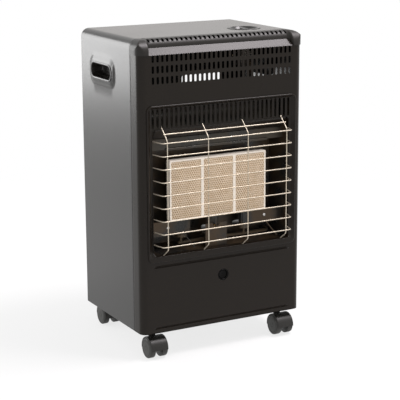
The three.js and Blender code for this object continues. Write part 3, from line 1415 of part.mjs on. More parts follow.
// Plan outline of the rear cover's bay, pulled in by the given wall.
function coverOutline(inset, mouthY) {
  const run = COVER_BACK_Y - COVER_Y;
  const lean = Math.atan2(COVER_MOUTH_HALF - COVER_BACK_HALF, run);
  const mouth = COVER_MOUTH_HALF - inset / Math.cos(lean) + (COVER_Y - mouthY) * Math.tan(lean);
  const back = COVER_BACK_HALF - inset * (1 / Math.cos(lean) - Math.tan(lean));
  return filleted([
    [-mouth, mouthY],
    [mouth, mouthY],
    [back, COVER_BACK_Y - inset, COVER_ROUND - inset],
    [-back, COVER_BACK_Y - inset, COVER_ROUND - inset],
  ], 5);
}

function rearCover() {
  const bay = prism('z', coverOutline(0, COVER_Y), COVER_FOOT, COVER_TOP);
  const hollow = prism('z', coverOutline(SHEET, COVER_Y - BEYOND), COVER_FOOT - BEYOND, COVER_TOP + BEYOND);
  let cover = bay.subtract(hollow);
  const edge = COVER_MOUTH_HALF + COVER_FLANGE;
  for (const side of [-1, 1]) {
    const [x0, x1] = side < 0 ? [-edge, -COVER_MOUTH_HALF + SHEET] : [COVER_MOUTH_HALF - SHEET, edge];
    cover = cover.add(box(x0, x1, COVER_Y, COVER_Y + SHEET, COVER_FOOT, COVER_TOP));
  }
  const mouth = coverOutline(COVER_LIP, COVER_Y - BEYOND);
  const lipHole = prism('z', mouth, COVER_FOOT - BEYOND, COVER_TOP + BEYOND);
  const lip = prism('z', coverOutline(0, COVER_Y), COVER_TOP - SHEET, COVER_TOP).subtract(lipHole);
  const foot = prism('z', coverOutline(0, COVER_Y), COVER_FOOT, COVER_FOOT + SHEET).subtract(lipHole);
  cover = join(cover, lip, foot);
  for (const z of COVER_VENT_ROWS) {
    for (const x of spread(COVER_VENTS, (COVER_VENTS - 1) * COVER_VENT_PITCH)) {
      const vent = filleted(rectangle(
        x - COVER_VENT_LENGTH / 2,
        z - COVER_VENT_HEIGHT / 2,
        x + COVER_VENT_LENGTH / 2,
        z + COVER_VENT_HEIGHT / 2,
      ));
      cover = cover.subtract(prism('y', vent, COVER_BACK_Y - BEYOND, COVER_BACK_Y + BEYOND));
    }
  }
  return cover;
}

// U-shaped channel that guides one edge of the rear cover, closed at its foot.
function coverGuide(side) {
  const outer = COVER_MOUTH_HALF + COVER_FLANGE + GUIDE_GAP + GUIDE_WALL;
  const inner = outer - GUIDE_WALL - GUIDE_WIDTH;
  const y0 = BACK + SEAT;
  const y1 = COVER_Y + SHEET + GUIDE_GAP + GUIDE_WALL;
  const at = (x) => side * x;
  const span = (a, b) => [Math.min(at(a), at(b)), Math.max(at(a), at(b))];
  const whole = box(...span(inner, outer), y0, y1, GUIDE_FOOT, COVER_TOP);
  const slot = box(
    ...span(inner - BEYOND, outer - GUIDE_WALL),
    y0 + GUIDE_WALL,
    y1 - GUIDE_WALL,
    GUIDE_FOOT + GUIDE_STOP,
    COVER_TOP + BEYOND,
  );
  return whole.subtract(slot);
}

// ---------------------------------------------------------------- base plate

function basePlate() {
  const half = SIDE - SHEET - SEAT;
  const front = FRONT + SHEET + BEAD_DEPTH + SEAT;
  const back = BACK - SHEET - SEAT;
  const round = CORNER_BEND - SHEET - SEAT;
  const tray = (inset) => filleted([
    [-half + inset, back - inset],
    [-half + inset, front + inset, round - inset],
    [half - inset, front + inset, round - inset],
    [half - inset, back - inset],
  ]);
  let base = prism('z', tray(0), BASE_Z, FLOOR_Z);
  base = base.add(prism('z', tray(0), BASE_Z, FLOOR_Z + BASE_UPSTAND, [tray(BASE_SHEET)]));
  const apronHalf = SIDE - REAR_FLANGE - SEAT;
  const rearGate = box(
    -apronHalf,
    apronHalf,
    back - 2 * BASE_SHEET,
    back + BEYOND,
    FLOOR_Z,
    FLOOR_Z + BASE_UPSTAND + BEYOND,
  );
  const apron = prism('z', coverOutline(COVER_LIP + APRON_CLEAR, back - APRON_CLEAR), BASE_Z, FLOOR_Z)
    .intersect(box(-apronHalf, apronHalf, back - BEYOND, COVER_BACK_Y, BASE_Z - 1, FLOOR_Z + 1));
  base = base.subtract(rearGate).add(apron);
  const circle = (radius, z) => Array.from({ length: STAND_FACETS }, (_, i) => {
    const angle = 2 * Math.PI * i / STAND_FACETS;
    return [radius * Math.cos(angle), STAND_Y + radius * Math.sin(angle), z];
  });
  const stand = (drop) => loft([
    circle(STAND_FOOT, BASE_Z - drop),
    circle(STAND_FOOT, FLOOR_Z - drop),
    circle(STAND_TOP, FLOOR_Z + STAND_RISE - drop),
  ]);
  return base.add(stand(0)).subtract(stand(BASE_SHEET));
}

// ---------------------------------------------------------------- casters

// One twin-wheel caster with its stem on the local Z axis and the axle behind it, at +Y.
function addCaster(name, { x, y, turn }) {
  const carrier = new THREE.Group();
  carrier.position.set(x, y, 0);
  carrier.rotation.z = THREE.MathUtils.degToRad(turn);
  heater.add(carrier);
  piece(`caster_${name}_stem`, casterStem(), ZINC(), carrier);
  piece(`caster_${name}_hood`, casterHood(), DARK_PLASTIC(), carrier);
  piece(`caster_${name}_axle`, casterAxle(), ZINC(), carrier);
  const outerSide = turn === 180 ? -1 : 1;
  for (const [label, side] of [['wheel_left', -outerSide], ['wheel_right', outerSide]]) {
    piece(`caster_${name}_${label}`, casterWheel(side), WHEEL_GREY(), carrier);
  }
}

function casterStem() {
  const top = BASE_Z - SEAT;
  const foot = HOOD_TOP - STEM_REACH;
  const pin = rod([0, 0, foot], [0, 0, top], STEM_RADIUS, 10);
  const collar = rod([0, 0, top - COLLAR_THICK], [0, 0, top], STEM_COLLAR, 12);
  return pin.add(collar);
}

function casterHood() {
  const arc = (radius, from, to, steps) => Array.from({ length: steps + 1 }, (_, i) => {
    const angle = THREE.MathUtils.degToRad(from + (to - from) * i / steps);
    const spot = new THREE.Vector2(CASTER_TRAIL, WHEEL_RADIUS);
    return spot.add(new THREE.Vector2(Math.cos(angle), Math.sin(angle)).multiplyScalar(radius));
  });
  const inner = WHEEL_RADIUS + HOOD_GAP;
  const half = WHEEL_SPREAD + WHEEL_WIDTH / 2 - SHELL_CLEAR;
  const shell = prism('x', [
    ...arc(HOOD_RADIUS, SHELL_FROM, SHELL_TO, 7),
    ...arc(inner, SHELL_TO, SHELL_FROM, 7),
  ], -half, half);
  const webHalf = WHEEL_SPREAD - WHEEL_WIDTH / 2 - WEB_GAP;
  const web = prism('x', [
    ...arc(inner + HOOD_WALL / 2, WEB_FROM, SHELL_TO, 6),
    ...arc(AXLE_RADIUS + AXLE_WALL, 230, 320, 3),
  ], -webHalf, webHalf);
  const top = BASE_Z - SEAT - COLLAR_THICK - RUNNING_GAP;
  const boss = rod([0, 0, WHEEL_RADIUS], [0, 0, top], BOSS_RADIUS, 12);
  const stemFoot = [0, 0, HOOD_TOP - STEM_REACH - RUNNING_GAP];
  const stemHole = rod(stemFoot, [0, 0, top + BEYOND], STEM_RADIUS + AXLE_GAP, 10);
  const axleHole = rod(
    [-BEYOND - webHalf, CASTER_TRAIL, WHEEL_RADIUS],
    [webHalf + BEYOND, CASTER_TRAIL, WHEEL_RADIUS],
    AXLE_RADIUS + AXLE_GAP,
    10,
  );
  const wheelRoom = (side) => rod(
    [side * webHalf, CASTER_TRAIL, WHEEL_RADIUS],
    [side * (half + BEYOND), CASTER_TRAIL, WHEEL_RADIUS],
    inner,
    WHEEL_FACETS,
  );
  const body = cut(join(web, boss), wheelRoom(-1), wheelRoom(1));
  return cut(join(shell, body), stemHole, axleHole);
}

function casterAxle() {
  const half = WHEEL_SPREAD + WHEEL_WIDTH / 2 - WHEEL_DISH - SEAT;
  return rod([-half, CASTER_TRAIL, WHEEL_RADIUS], [half, CASTER_TRAIL, WHEEL_RADIUS], AXLE_RADIUS, 10);
}

// A wheel with a closed, slightly domed outer face; one flat of its tread lies on the floor.
function casterWheel(side) {
  const half = WHEEL_WIDTH / 2;
  const corner = 1 / Math.cos(Math.PI / WHEEL_FACETS);
  const rim = WHEEL_RADIUS * corner;
  const bore = (AXLE_RADIUS + AXLE_GAP) * corner;
  const wheel = turned([
    [0, -half - WHEEL_DOME],
    [rim - WHEEL_EDGE, -half],
    [rim, -half + WHEEL_EDGE],
    [rim, half],
    [bore, half],
    [bore, -half + WHEEL_DISH],
    [0, -half + WHEEL_DISH],
  ], WHEEL_FACETS, Math.PI / WHEEL_FACETS);
  const facing = wheel.rotate([0, side < 0 ? 90 : -90, 0]);
  return facing.translate([side * WHEEL_SPREAD, CASTER_TRAIL, WHEEL_RADIUS]);
}

// ---------------------------------------------------------------- assembly

piece('cabinet_wrap', cabinetWrap(), SATIN_BLACK());
piece('front_panel', frontPanel(), SATIN_BLACK());
piece('top_front_trim', topFrontTrim(), DARK_PLASTIC());
piece('base_plate', basePlate(), ZINC());
piece('rear_top_panel', rearTopPanel(), SATIN_BLACK());
piece('rear_cover', rearCover(), SATIN_BLACK());
piece('cover_guide_left', coverGuide(-1), SATIN_BLACK());
piece('cover_guide_right', coverGuide(1), SATIN_BLACK());
piece('handle_left', handleCup(-1), DARK_PLASTIC());
piece('handle_right', handleCup(1), DARK_PLASTIC());

piece('heater_bezel', heaterBezel(), SATIN_BLACK());
piece('burner_chamber', burnerChamber(), BLUED_STEEL());
piece('top_deflector', topDeflector(), BLUED_STEEL());
piece('bulkhead', bulkhead(), ZINC());
piece('plaque_frame', plaqueFrame(), ALUMINISED());
const COLUMN_NAMES = ['left', 'middle', 'right'];
burnerColumns().forEach((x, i) => {
  piece(`plaque_${COLUMN_NAMES[i]}`, plaque(x), CERAMIC());
  piece(`burner_${COLUMN_NAMES[i]}`, burnerBody(x), ALUMINISED());
});
piece('burner_bracket_left', burnerBracket(-1), BLUED_STEEL());
piece('burner_bracket_right', burnerBracket(1), BLUED_STEEL());
piece('wire_guard', wireGuard(), CREAM_WIRE());

piece('pilot_bracket', pilotBracket(), BLUED_STEEL());
piece('pilot_burner', pilotBurner(), BRASS());
piece('pilot_electrode', probe(PILOT_X - PROBE_SPREAD, ELECTRODE_RADIUS, SPARK_RADIUS), CERAMIC());
piece('thermocouple', probe(PILOT_X + PROBE_SPREAD, PROBE_RADIUS, PROBE_TIP), ZINC());
piece('pilot_pipe', pilotPipe(), ZINC());

piece('gas_valve', gasValve(), BRASS());
piece('valve_bracket', valveBracket(), ZINC());
piece('gas_manifold', gasManifold(), ZINC());
piece('inlet_nozzle', inletNozzle(), BRASS());

piece('knob_dial', knobDial(), SATIN_BLACK());
piece('thrust_collar', thrustCollar(), BRASS());
piece('knob_spindle', knobSpindle(), BRASS());
piece('knob', knob(), DARK_PLASTIC());
piece('button_bezel', buttonBezel(), DARK_PLASTIC());
piece('ignition_button', ignitionButton(), DARK_PLASTIC());
piece('piezo_unit', piezoUnit(), DARK_PLASTIC());

for (const [name, place] of Object.entries(CASTERS)) addCaster(name, place);

const bounds = new THREE.Box3().setFromObject(heater);
heater.position.y = -(bounds.min.y + bounds.max.y) / 2;
heater.updateMatrixWorld(true);

export default heater;
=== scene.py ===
"""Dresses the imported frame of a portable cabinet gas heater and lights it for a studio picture.

Lengths are written in millimetres from the middle of the cabinet at floor level, as the
frame's own sizes are, and become metres of the row frame when a mesh is made.
"""

import math

import bpy
import numpy as np
from mathutils import Matrix, Vector


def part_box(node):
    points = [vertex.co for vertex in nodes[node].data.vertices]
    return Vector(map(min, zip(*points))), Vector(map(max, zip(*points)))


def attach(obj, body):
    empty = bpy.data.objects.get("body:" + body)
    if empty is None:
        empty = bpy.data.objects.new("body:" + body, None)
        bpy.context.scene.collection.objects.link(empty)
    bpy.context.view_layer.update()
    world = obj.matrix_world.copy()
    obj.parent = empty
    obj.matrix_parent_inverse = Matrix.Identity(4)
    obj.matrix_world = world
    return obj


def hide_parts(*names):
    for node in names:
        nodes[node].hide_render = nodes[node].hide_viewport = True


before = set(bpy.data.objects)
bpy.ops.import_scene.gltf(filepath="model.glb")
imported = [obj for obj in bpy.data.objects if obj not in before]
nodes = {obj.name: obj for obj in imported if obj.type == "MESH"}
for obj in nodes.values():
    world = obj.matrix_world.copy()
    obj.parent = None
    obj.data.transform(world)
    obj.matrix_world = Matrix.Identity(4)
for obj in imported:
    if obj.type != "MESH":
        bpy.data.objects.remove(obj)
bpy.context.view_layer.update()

# ------------------------------------------------------------------ sizes

MM = 0.001
SIDE = 210.0
HEIGHT = 730.0
FRONT = -152.5
BACK = 152.5
SEAM = -110.5
SKIRT = 62.0
SHEET = 1.0
SEAT = 0.3
TOP_BEND = 20.0
CORNER_BEND = 17.0
FOLD = 697.0
STRIP = 14.5
COVER_BACK = 260.5
SHIFT_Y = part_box("rear_cover")[1][1] / MM - COVER_BACK

VENT_COUNT = 31
VENT_PITCH = 351 / 30
VENT_HALF = 2.9
VENT_ROUND = 2.3
VENT_ROWS = (641.0, 665.0, 689.0)
WINDOW_HALF = 191.5
WINDOW_LOW = 231.0
WINDOW_HIGH = 584.0
BUTTON_Z = 177.0
BEAD_ROWS = (74.0, 218.5)
GRIP_Y = 35.0
GRIP_Z = 643.0
KNOB_X = 119.0
KNOB_Y = -41.0
WIRE = 1.75
WIRE_DRAWN = 1.2
GUARD_Y = FRONT - 27


# ------------------------------------------------------------------ shader maths


class Value:
    """A socket that takes part in ordinary arithmetic; each operator adds one Math node."""

    def __init__(self, finish, socket):
        self.finish = finish
        self.socket = socket

    def _math(self, operation, *terms, clamp=False):
        return self.finish.add("ShaderNodeMath", terms, operation=operation, use_clamp=clamp)

    def __add__(self, other):
        return self._math("ADD", self, other)

    __radd__ = __add__

    def __mul__(self, other):
        return self._math("MULTIPLY", self, other)

    __rmul__ = __mul__

    def __sub__(self, other):
        return self._math("SUBTRACT", self, other)

    def __rsub__(self, other):
        return self._math("SUBTRACT", other, self)

    def __truediv__(self, other):
        return self._math("DIVIDE", self, other)

    def __pow__(self, other):
        return self._math("POWER", self, other)

    def __mod__(self, other):
        return self._math("FLOORED_MODULO", self, other)

    def __abs__(self):
        return self._math("ABSOLUTE", self)

    def above(self, edge):
        return self._math("GREATER_THAN", self, edge)

    def clamped(self):
        return self._math("ADD", self, 0.0, clamp=True)

    def ramp(self, low, high, bottom=0.0, top=1.0):
        """Goes smoothly from bottom to top while the value goes from low to high."""
        return self.finish.add(
            "ShaderNodeMapRange", {0: self, 1: low, 2: high, 3: bottom, 4: top},
            interpolation_type="SMOOTHSTEP",
        )


class Finish:
    """One material: a Principled shader and the few nodes that vary it."""

    def __init__(self, name, color, roughness=0.5, metallic=0.0, **constants):
        self.material = bpy.data.materials.new(name)
        self.material.use_nodes = True
        self.tree = self.material.node_tree
        self.shader = self.tree.nodes["Principled BSDF"]
        self.base = (*color, 1.0)
        self.set("Base Color", self.base)
        self.set("Roughness", roughness)
        self.set("Metallic", metallic)
        for socket, value in constants.items():
            self.set(socket.replace("_", " "), value)
        self.place = self.add("ShaderNodeTexCoord", {}, out="Object")

    def add(self, kind, inputs, out=0, **settings):
        """Adds a node, first its settings and then the values or links of its inputs."""
        node = self.tree.nodes.new(kind)
        for key, value in settings.items():
            if key == "stops":
                self._stops(node.color_ramp, value)
            else:
                setattr(node, key, value)
        pairs = inputs.items() if isinstance(inputs, dict) else enumerate(inputs)
        for key, value in pairs:
            if isinstance(value, Value):
                self.tree.links.new(value.socket, node.inputs[key])
            else:
                node.inputs[key].default_value = value
        return Value(self, node.outputs[out])

    @staticmethod
    def _stops(ramp, stops):
        while len(ramp.elements) < len(stops):
            ramp.elements.new(0.5)
        for element, (position, color) in zip(ramp.elements, stops):
            element.position = position
            element.color = (*color, 1.0)

    def set(self, socket, value):
        if isinstance(value, Value):
            self.tree.links.new(value.socket, self.shader.inputs[socket])
        else:
            self.shader.inputs[socket].default_value = value

    def noise(self, scale, detail=3.0, rough=0.55, stretch=None):
        """Noise in the piece's own metres; stretch gives each axis its own scale."""
        place = self.place
        if stretch:
            place = self.add("ShaderNodeVectorMath", [place, stretch], operation="MULTIPLY")
        inputs = {"Vector": place, "Scale": scale, "Detail": detail, "Roughness": rough}
        return self.add("ShaderNodeTexNoise", inputs)

    def axes(self):
        """The three coordinates of the place on the piece, in metres."""
        split = self.tree.nodes.new("ShaderNodeSeparateXYZ")
        self.tree.links.new(self.place.socket, split.inputs[0])
        return [Value(self, output) for output in split.outputs]

    def blend(self, factor, first, second):
        """The colour between two colours, or sockets of colour, by a factor."""
        first = first if isinstance(first, Value) else (*first[:3], 1.0)
        second = second if isinstance(second, Value) else (*second[:3], 1.0)
        inputs = {0: factor, 6: first, 7: second}
        return self.add("ShaderNodeMix", inputs, out=2, data_type="RGBA")

    def bump(self, height, depth, strength=1.0):
        """A relief of the given depth in metres; reliefs follow one another."""
        inputs = {"Height": height, "Distance": depth, "Strength": strength}
        before = self.shader.inputs["Normal"]
        if before.is_linked:
            inputs["Normal"] = Value(self, before.links[0].from_socket)
        self.set("Normal", self.add("ShaderNodeBump", inputs))

    def vary(self, color_spread=0.12, rough=None, rough_spread=0.06, scale=22.0):
        """Slow cloudy changes of tone and gloss, as on any handled surface."""
        cloud = self.noise(scale, 4.0)
        dark = tuple(c * (1 - color_spread) for c in self.base[:3])
        light = tuple(min(c * (1 + color_spread), 1.0) for c in self.base[:3])
        self.set("Base Color", self.blend(cloud, dark, light))
        rough = self.shader.inputs["Roughness"].default_value if rough is None else rough
        smudge = self.noise(scale * 0.4, 5.0, 0.65)
        self.set("Roughness", smudge.ramp(0.3, 0.7, rough - rough_spread, rough + rough_spread))
        return cloud


# ------------------------------------------------------------------ finishes


def satin_enamel(name, color, roughness, dust=0.0, gloss=0.5):
    """Baked enamel: fine orange peel, cloudy gloss, a little dust on what faces up."""
    paint = Finish(name, color, roughness, 0.0, Specular_IOR_Level=gloss)
    paint.vary(0.06, roughness, 0.012, 5.0)
    peel = paint.noise(900.0, 2.0)
    paint.bump(peel, 0.00001, 0.3)
    if dust:
        up = paint.add("ShaderNodeSeparateXYZ", {0: paint.add("ShaderNodeNewGeometry", {}, out="Normal")}, out=2)
        speck = paint.noise(2600.0, 3.0, 0.7).ramp(0.62, 0.78)
        veil = (up.ramp(0.6, 1.0) * (paint.noise(14.0, 3.0) * 0.5 + speck)).clamped() * dust
        tone = Value(paint, paint.shader.inputs["Base Color"].links[0].from_socket)
        paint.set("Base Color", paint.blend(veil, tone, (0.35, 0.33, 0.30)))
    return paint.material


def grained_plastic(name, color, roughness, grain=0.00006, gloss=0.45):
    """Moulded plastic with a fine leather grain and cloudy changes of tone and gloss."""
    plastic = Finish(name, color, roughness, 0.0, Specular_IOR_Level=gloss)
    plastic.vary(0.15, roughness, 0.06, 30.0)
    cells = plastic.add(
        "ShaderNodeTexVoronoi", {"Vector": plastic.place, "Scale": 1400.0}, feature="SMOOTH_F1"
    )
    plastic.bump(cells, grain, 0.5)
    plastic.bump(plastic.noise(260.0, 3.0), 0.00004, 0.3)
    return plastic.material


def galvanised(name, color, roughness):
    """Zinc coated sheet: flat crystals of slightly different tone and fine scratches."""
    zinc = Finish(name, color, roughness, 0.9)
    crystal = zinc.add(
        "ShaderNodeTexVoronoi", {"Vector": zinc.place, "Scale": 110.0}, out="Color"
    )
    tone = zinc.add("ShaderNodeSeparateColor", {0: crystal})
    dark = tuple(c * 0.78 for c in color)
    light = tuple(min(c * 1.12, 1.0) for c in color)
    zinc.set("Base Color", zinc.blend(tone, dark, light))
    scratch = zinc.noise(60.0, 6.0, 0.7, (1.0, 14.0, 14.0))
    zinc.set("Roughness", scratch.ramp(0.35, 0.65, roughness - 0.08, roughness + 0.12))
    zinc.bump(scratch, 0.00001, 0.3)
    return zinc.material


def heat_stained(name, color, roughness, spread=1.0):
    """Dark sheet that has been hot: brown and blue patches and a dull scale."""
    steel = Finish(name, color, roughness, 0.55)
    patch = steel.noise(16.0, 5.0, 0.6)
    brown = tuple(c * (1 + f * spread) for c, f in zip(color, (0.9, 0.45, 0.0)))
    blue = tuple(c * (1 + f * spread) for c, f in zip(color, (-0.2, -0.05, 0.15)))
    stained = steel.blend(patch.ramp(0.35, 0.62), blue, brown)
    scale = steel.noise(420.0, 4.0, 0.7)
    steel.set("Base Color", steel.blend(scale.ramp(0.5, 0.8) * 0.35, stained, (0.05, 0.045, 0.04)))
    steel.set("Roughness", patch.ramp(0.3, 0.7, roughness - 0.08, roughness + 0.14))
    steel.bump(scale, 0.00003, 0.4)
    return steel.material


def turned_metal(name, color, roughness, metallic=1.0):
    """Turned or drawn metal: very fine lines along the tool's path and faint tarnish."""
    metal = Finish(name, color, roughness, metallic)
    metal.vary(0.14, roughness, 0.07, 70.0)
    lines = metal.noise(90.0, 5.0, 0.7, (1.0, 1.0, 40.0))
    metal.bump(lines, 0.00001, 0.35)
    return metal.material


def plated_wire():
    """Bright plated wire with a warm tone, straw-coloured where the burner heats it."""
    wire = Finish("plated_wire", (0.52, 0.46, 0.37), 0.38, 0.5, Specular_IOR_Level=0.5)
    x, _, z = wire.axes()
    near = (1 - (abs(x) / 0.15) ** 2.0).clamped() * (1 - (abs(z - 0.385) / 0.12) ** 2.0).clamped()
    heat = (near * (wire.noise(40.0, 3.0) + 0.4)).clamped()
    wire.set("Base Color", wire.blend(heat * 0.5, (0.54, 0.48, 0.385), (0.46, 0.37, 0.25)))
    wire.set("Roughness", wire.noise(120.0, 4.0).ramp(0.3, 0.7, 0.26, 0.42))
    wire.bump(wire.noise(800.0, 3.0), 0.00002, 0.4)
    return wire.material


def perforated_ceramic():
    """Pressed ceramic in x and z: dished cells of 5 mm on two interleaved grids, with rows of
    pin holes at half that pitch. The distance to the nearest grid point gives dish and hole,
    and both are painted darker as painted shade in the hollows."""
    clay = Finish("perforated_ceramic", (0.60, 0.47, 0.30), 0.92, 0.0, Specular_IOR_Level=0.25)
    x, _, z = clay.axes()

    def nearest(pitch_x):
        pitch_z = pitch_x * 1.732

        def grid(offset_x, offset_z):
            dx = (x + (offset_x + 1.0)) % pitch_x - pitch_x / 2
            dz = (z + (offset_z + 1.0)) % pitch_z - pitch_z / 2
            return (dx * dx + dz * dz) ** 0.5

        return clay.add("ShaderNodeMath", [grid(0.0, 0.0), grid(pitch_x / 2, pitch_z / 2)], operation="MINIMUM")

    dish = nearest(0.0056).ramp(0.0008, 0.0024, 1.0, 0.0)
    hole = nearest(0.0028).ramp(0.0004, 0.0009, 1.0, 0.0)
    cloud = clay.noise(60.0, 5.0, 0.65)
    fired = clay.blend(cloud.ramp(0.3, 0.7), (0.68, 0.54, 0.38), (0.78, 0.65, 0.49))
    dusty = clay.blend(clay.noise(1500.0, 3.0).ramp(0.5, 0.75) * 0.4, fired, (0.82, 0.74, 0.62))
    # Painted shade: the dish hollows are darkened to brown and the pin holes to near black.
    dish_painted_shade = clay.blend(dish * 0.85, dusty, (0.34, 0.19, 0.07))
    clay.set("Base Color", clay.blend(hole * 0.6, dish_painted_shade, (0.14, 0.10, 0.07)))
    clay.bump(1 - dish, 0.0009, 0.8)
    clay.bump(1 - hole, 0.0005, 0.6)
    clay.bump(clay.noise(1100.0, 4.0), 0.0001, 0.35)
    return clay.material


def bright_frame():
    """Aluminised burner frame, pale and softly brushed."""
    sheet = Finish("aluminised_frame", (0.86, 0.79, 0.69), 0.42, 0.1)
    sheet.vary(0.08, 0.42, 0.08, 40.0)
    brushed = sheet.noise(80.0, 5.0, 0.7, (12.0, 1.0, 1.0))
    sheet.bump(brushed, 0.00002, 0.4)
    return sheet.material


ENAMEL = satin_enamel("satin_black_enamel", (0.0125, 0.0112, 0.0096), 0.26, dust=0.02)
# Painted shade: the front panel and bezel get a darker, warmer copy of the same satin black enamel as the wrap.
FRONT_ENAMEL_PAINTED_SHADE = satin_enamel("satin_black_front_painted_shade", (0.0100, 0.0070, 0.0044), 0.28, gloss=0.2)
DARK_ENAMEL = satin_enamel("dark_inner_enamel", (0.0090, 0.0080, 0.0068), 0.45)
TRIM_PLASTIC = grained_plastic("black_trim_plastic", (0.0130, 0.0110, 0.0090), 0.40, gloss=0.3)
KNOB_PLASTIC = grained_plastic("black_knob_plastic", (0.0150, 0.0140, 0.0130), 0.34, 0.00003)
HOOD_PLASTIC = grained_plastic("dark_hood_plastic", (0.0150, 0.0140, 0.0122), 0.42, gloss=0.35)
WHEEL_PLASTIC = grained_plastic("grey_wheel_plastic", (0.0260, 0.0255, 0.0225), 0.46, gloss=0.4)
ZINC = galvanised("zinc_sheet", (0.52, 0.52, 0.51), 0.42)
STEEL = turned_metal("bright_steel", (0.60, 0.59, 0.57), 0.28)
BRASS = turned_metal("turned_brass", (0.62, 0.44, 0.19), 0.30)
DARK_STEEL = heat_stained("heat_stained_steel", (0.030, 0.026, 0.021), 0.32)
ALUMINISED = bright_frame()
CERAMIC = perforated_ceramic()
GLAZE = Finish("glazed_ceramic", (0.72, 0.70, 0.64), 0.25)
GLAZE.vary(0.05, 0.25, 0.05, 80.0)
GLAZE = GLAZE.material
WIRE_FINISH = plated_wire()
GRIP_PLASTIC = grained_plastic("black_grip_plastic", (0.0180, 0.0165, 0.0150), 0.26, 0.00002, 0.6)
BUTTON_PLASTIC = grained_plastic("black_button_plastic", (0.0030, 0.0027, 0.0025), 0.20, 0.00001, 0.08)
DEFLECTOR = heat_stained("polished_deflector", (0.040, 0.037, 0.031), 0.30, spread=0.35)
DULL_STEEL = heat_stained("dull_burner_steel", (0.060, 0.056, 0.048), 0.46)
VALVE_METAL = turned_metal("dull_valve_casting", (0.20, 0.18, 0.15), 0.45, 0.7)
MARK_PAINT = grained_plastic("pale_mark_paint", (0.62, 0.60, 0.56), 0.45, 0.00001)


# ------------------------------------------------------------------ mesh tools


class Skin:
    """Collects patches of points in millimetres and makes them one closed mesh."""

    def __init__(self):
        self.points = []
        self.faces = []
        self.count = 0

    def add(self, points, faces):
        points = np.asarray(points, float).reshape(-1, 3)
        self.points.append(points)
        self.faces.extend((np.asarray(faces) + self.count).tolist())
        self.count += len(points)
        return self

    def grid(self, points, around=False, along=False):
        """Quads over an array of rows of points; around closes each row, along the rows."""
        rows, cols = points.shape[:2]
        r = np.arange(rows if along else rows - 1)
        c = np.arange(cols if around else cols - 1)
        a, b = np.meshgrid(r, c, indexing="ij")
        a1, b1 = (a + 1) % rows, (b + 1) % cols
        quads = np.stack([a * cols + b, a * cols + b1, a1 * cols + b1, a1 * cols + b], -1)
        return self.add(points, quads.reshape(-1, 4))

    def cap(self, ring, flip=False):
        """A fan of triangles from the middle of a ring of points."""
        ring = np.asarray(ring, float)
        n = len(ring)
        i = np.arange(n)
        fan = np.stack([np.full(n, n), i, (i + 1) % n], -1)
        return self.add(np.vstack([ring, ring.mean(0)]), fan[:, ::-1] if flip else fan)

    def tube(self, rings):
        """A skin over closed rings of points, with a cap on both ends."""
        rings = np.asarray(rings, float)
        self.grid(rings, around=True)
        self.cap(rings[0], flip=True)
        self.cap(rings[-1])
        return self

    def make(self, name, material, body="cabinet", stands_for=(), slot=None, smooth=32.0):
        """The object: points merged, faces turned outwards by the sign of the volume."""
        points = np.vstack(self.points)
        keys, first, back = np.unique(
            np.round(points * 2000).astype(np.int64), axis=0, return_index=True, return_inverse=True
        )
        points = points[first]
        back = back.reshape(-1)
        faces = []
        for face in self.faces:
            corners = []
            for corner in back[face]:
                if corner not in corners:
                    corners.append(int(corner))
            if len(corners) > 2:
                faces.append(corners)
        tris = np.array([[f[0], f[i], f[i + 1]] for f in faces for i in range(1, len(f) - 1)])
        a, b, c = (points[tris[:, k]] for k in range(3))
        if np.einsum("ij,ij->i", a, np.cross(b, c)).sum() < 0:
            faces = [f[::-1] for f in faces]
        mesh = bpy.data.meshes.new(name)
        placed = (points + [0.0, SHIFT_Y, 0.0]) * MM
        mesh.from_pydata(placed.tolist(), [], faces)
        mesh.shade_smooth()
        mesh.set_sharp_from_angle(angle=math.radians(smooth))
        mesh.materials.append(material)
        piece = bpy.data.objects.new(name, mesh)
        bpy.context.scene.collection.objects.link(piece)
        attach(piece, body)
        if stands_for:
            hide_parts(*([stands_for] if isinstance(stands_for, str) else stands_for))
        return piece


def fillet(corners, step=6.0):
    """A closed outline from (u, v, radius) corners, each replaced by an arc of fine steps."""
    out = []
    n = len(corners)
    for i, corner in enumerate(corners):
        here = np.array(corner[:2], float)
        radius = corner[2] if len(corner) > 2 else 0.0
        if radius <= 0:
            out.append(here)
            continue
        back = np.array(corners[i - 1][:2], float) - here
        ahead = np.array(corners[(i + 1) % n][:2], float) - here
        back /= np.hypot(*back)
        ahead /= np.hypot(*ahead)
        half = math.acos(float(np.clip(back @ ahead, -1, 1))) / 2
        middle = back + ahead
        middle /= np.hypot(*middle)
        centre = here + middle * radius / math.sin(half)
        start = here + back * radius / math.tan(half) - centre
        end = here + ahead * radius / math.tan(half) - centre
        sweep = math.atan2(start[0] * end[1] - start[1] * end[0], float(start @ end))
        count = max(2, int(abs(math.degrees(sweep)) / step))
        angles = math.atan2(start[1], start[0]) + sweep * np.arange(count + 1) / count
        out.extend(centre + radius * np.stack([np.cos(angles), np.sin(angles)], -1))
    return np.array(out)


def rounded(u0, v0, u1, v1, radius, step=6.0):
    return fillet([(u0, v0, radius), (u1, v0, radius), (u1, v1, radius), (u0, v1, radius)], step)


def at_x(outline, x):
    return np.stack([np.full(len(outline), x), outline[:, 0], outline[:, 1]], -1)


def at_y(outline, y):
    return np.stack([outline[:, 0], np.full(len(outline), y), outline[:, 1]], -1)


def at_z(outline, z):
    return np.stack([outline[:, 0], outline[:, 1], np.full(len(outline), z)], -1)


def lathe(profile, sides=48, axis="z", centre=(0.0, 0.0, 0.0)):
    """A turned skin: radius and height of the profile, swept round an axis through centre."""
    profile = np.asarray(profile, float)
    angle = 2 * math.pi * np.arange(sides) / sides
    ring = np.stack([np.cos(angle), np.sin(angle)], -1)
    r = profile[:, None, 0] * ring[None, :, 0]
    s = profile[:, None, 0] * ring[None, :, 1]
    h = np.broadcast_to(profile[:, 1:2], r.shape)
    order = {"z": (r, s, h), "y": (s, h, r), "x": (h, r, s)}[axis]
    return np.stack(order, -1) + np.asarray(centre, float)


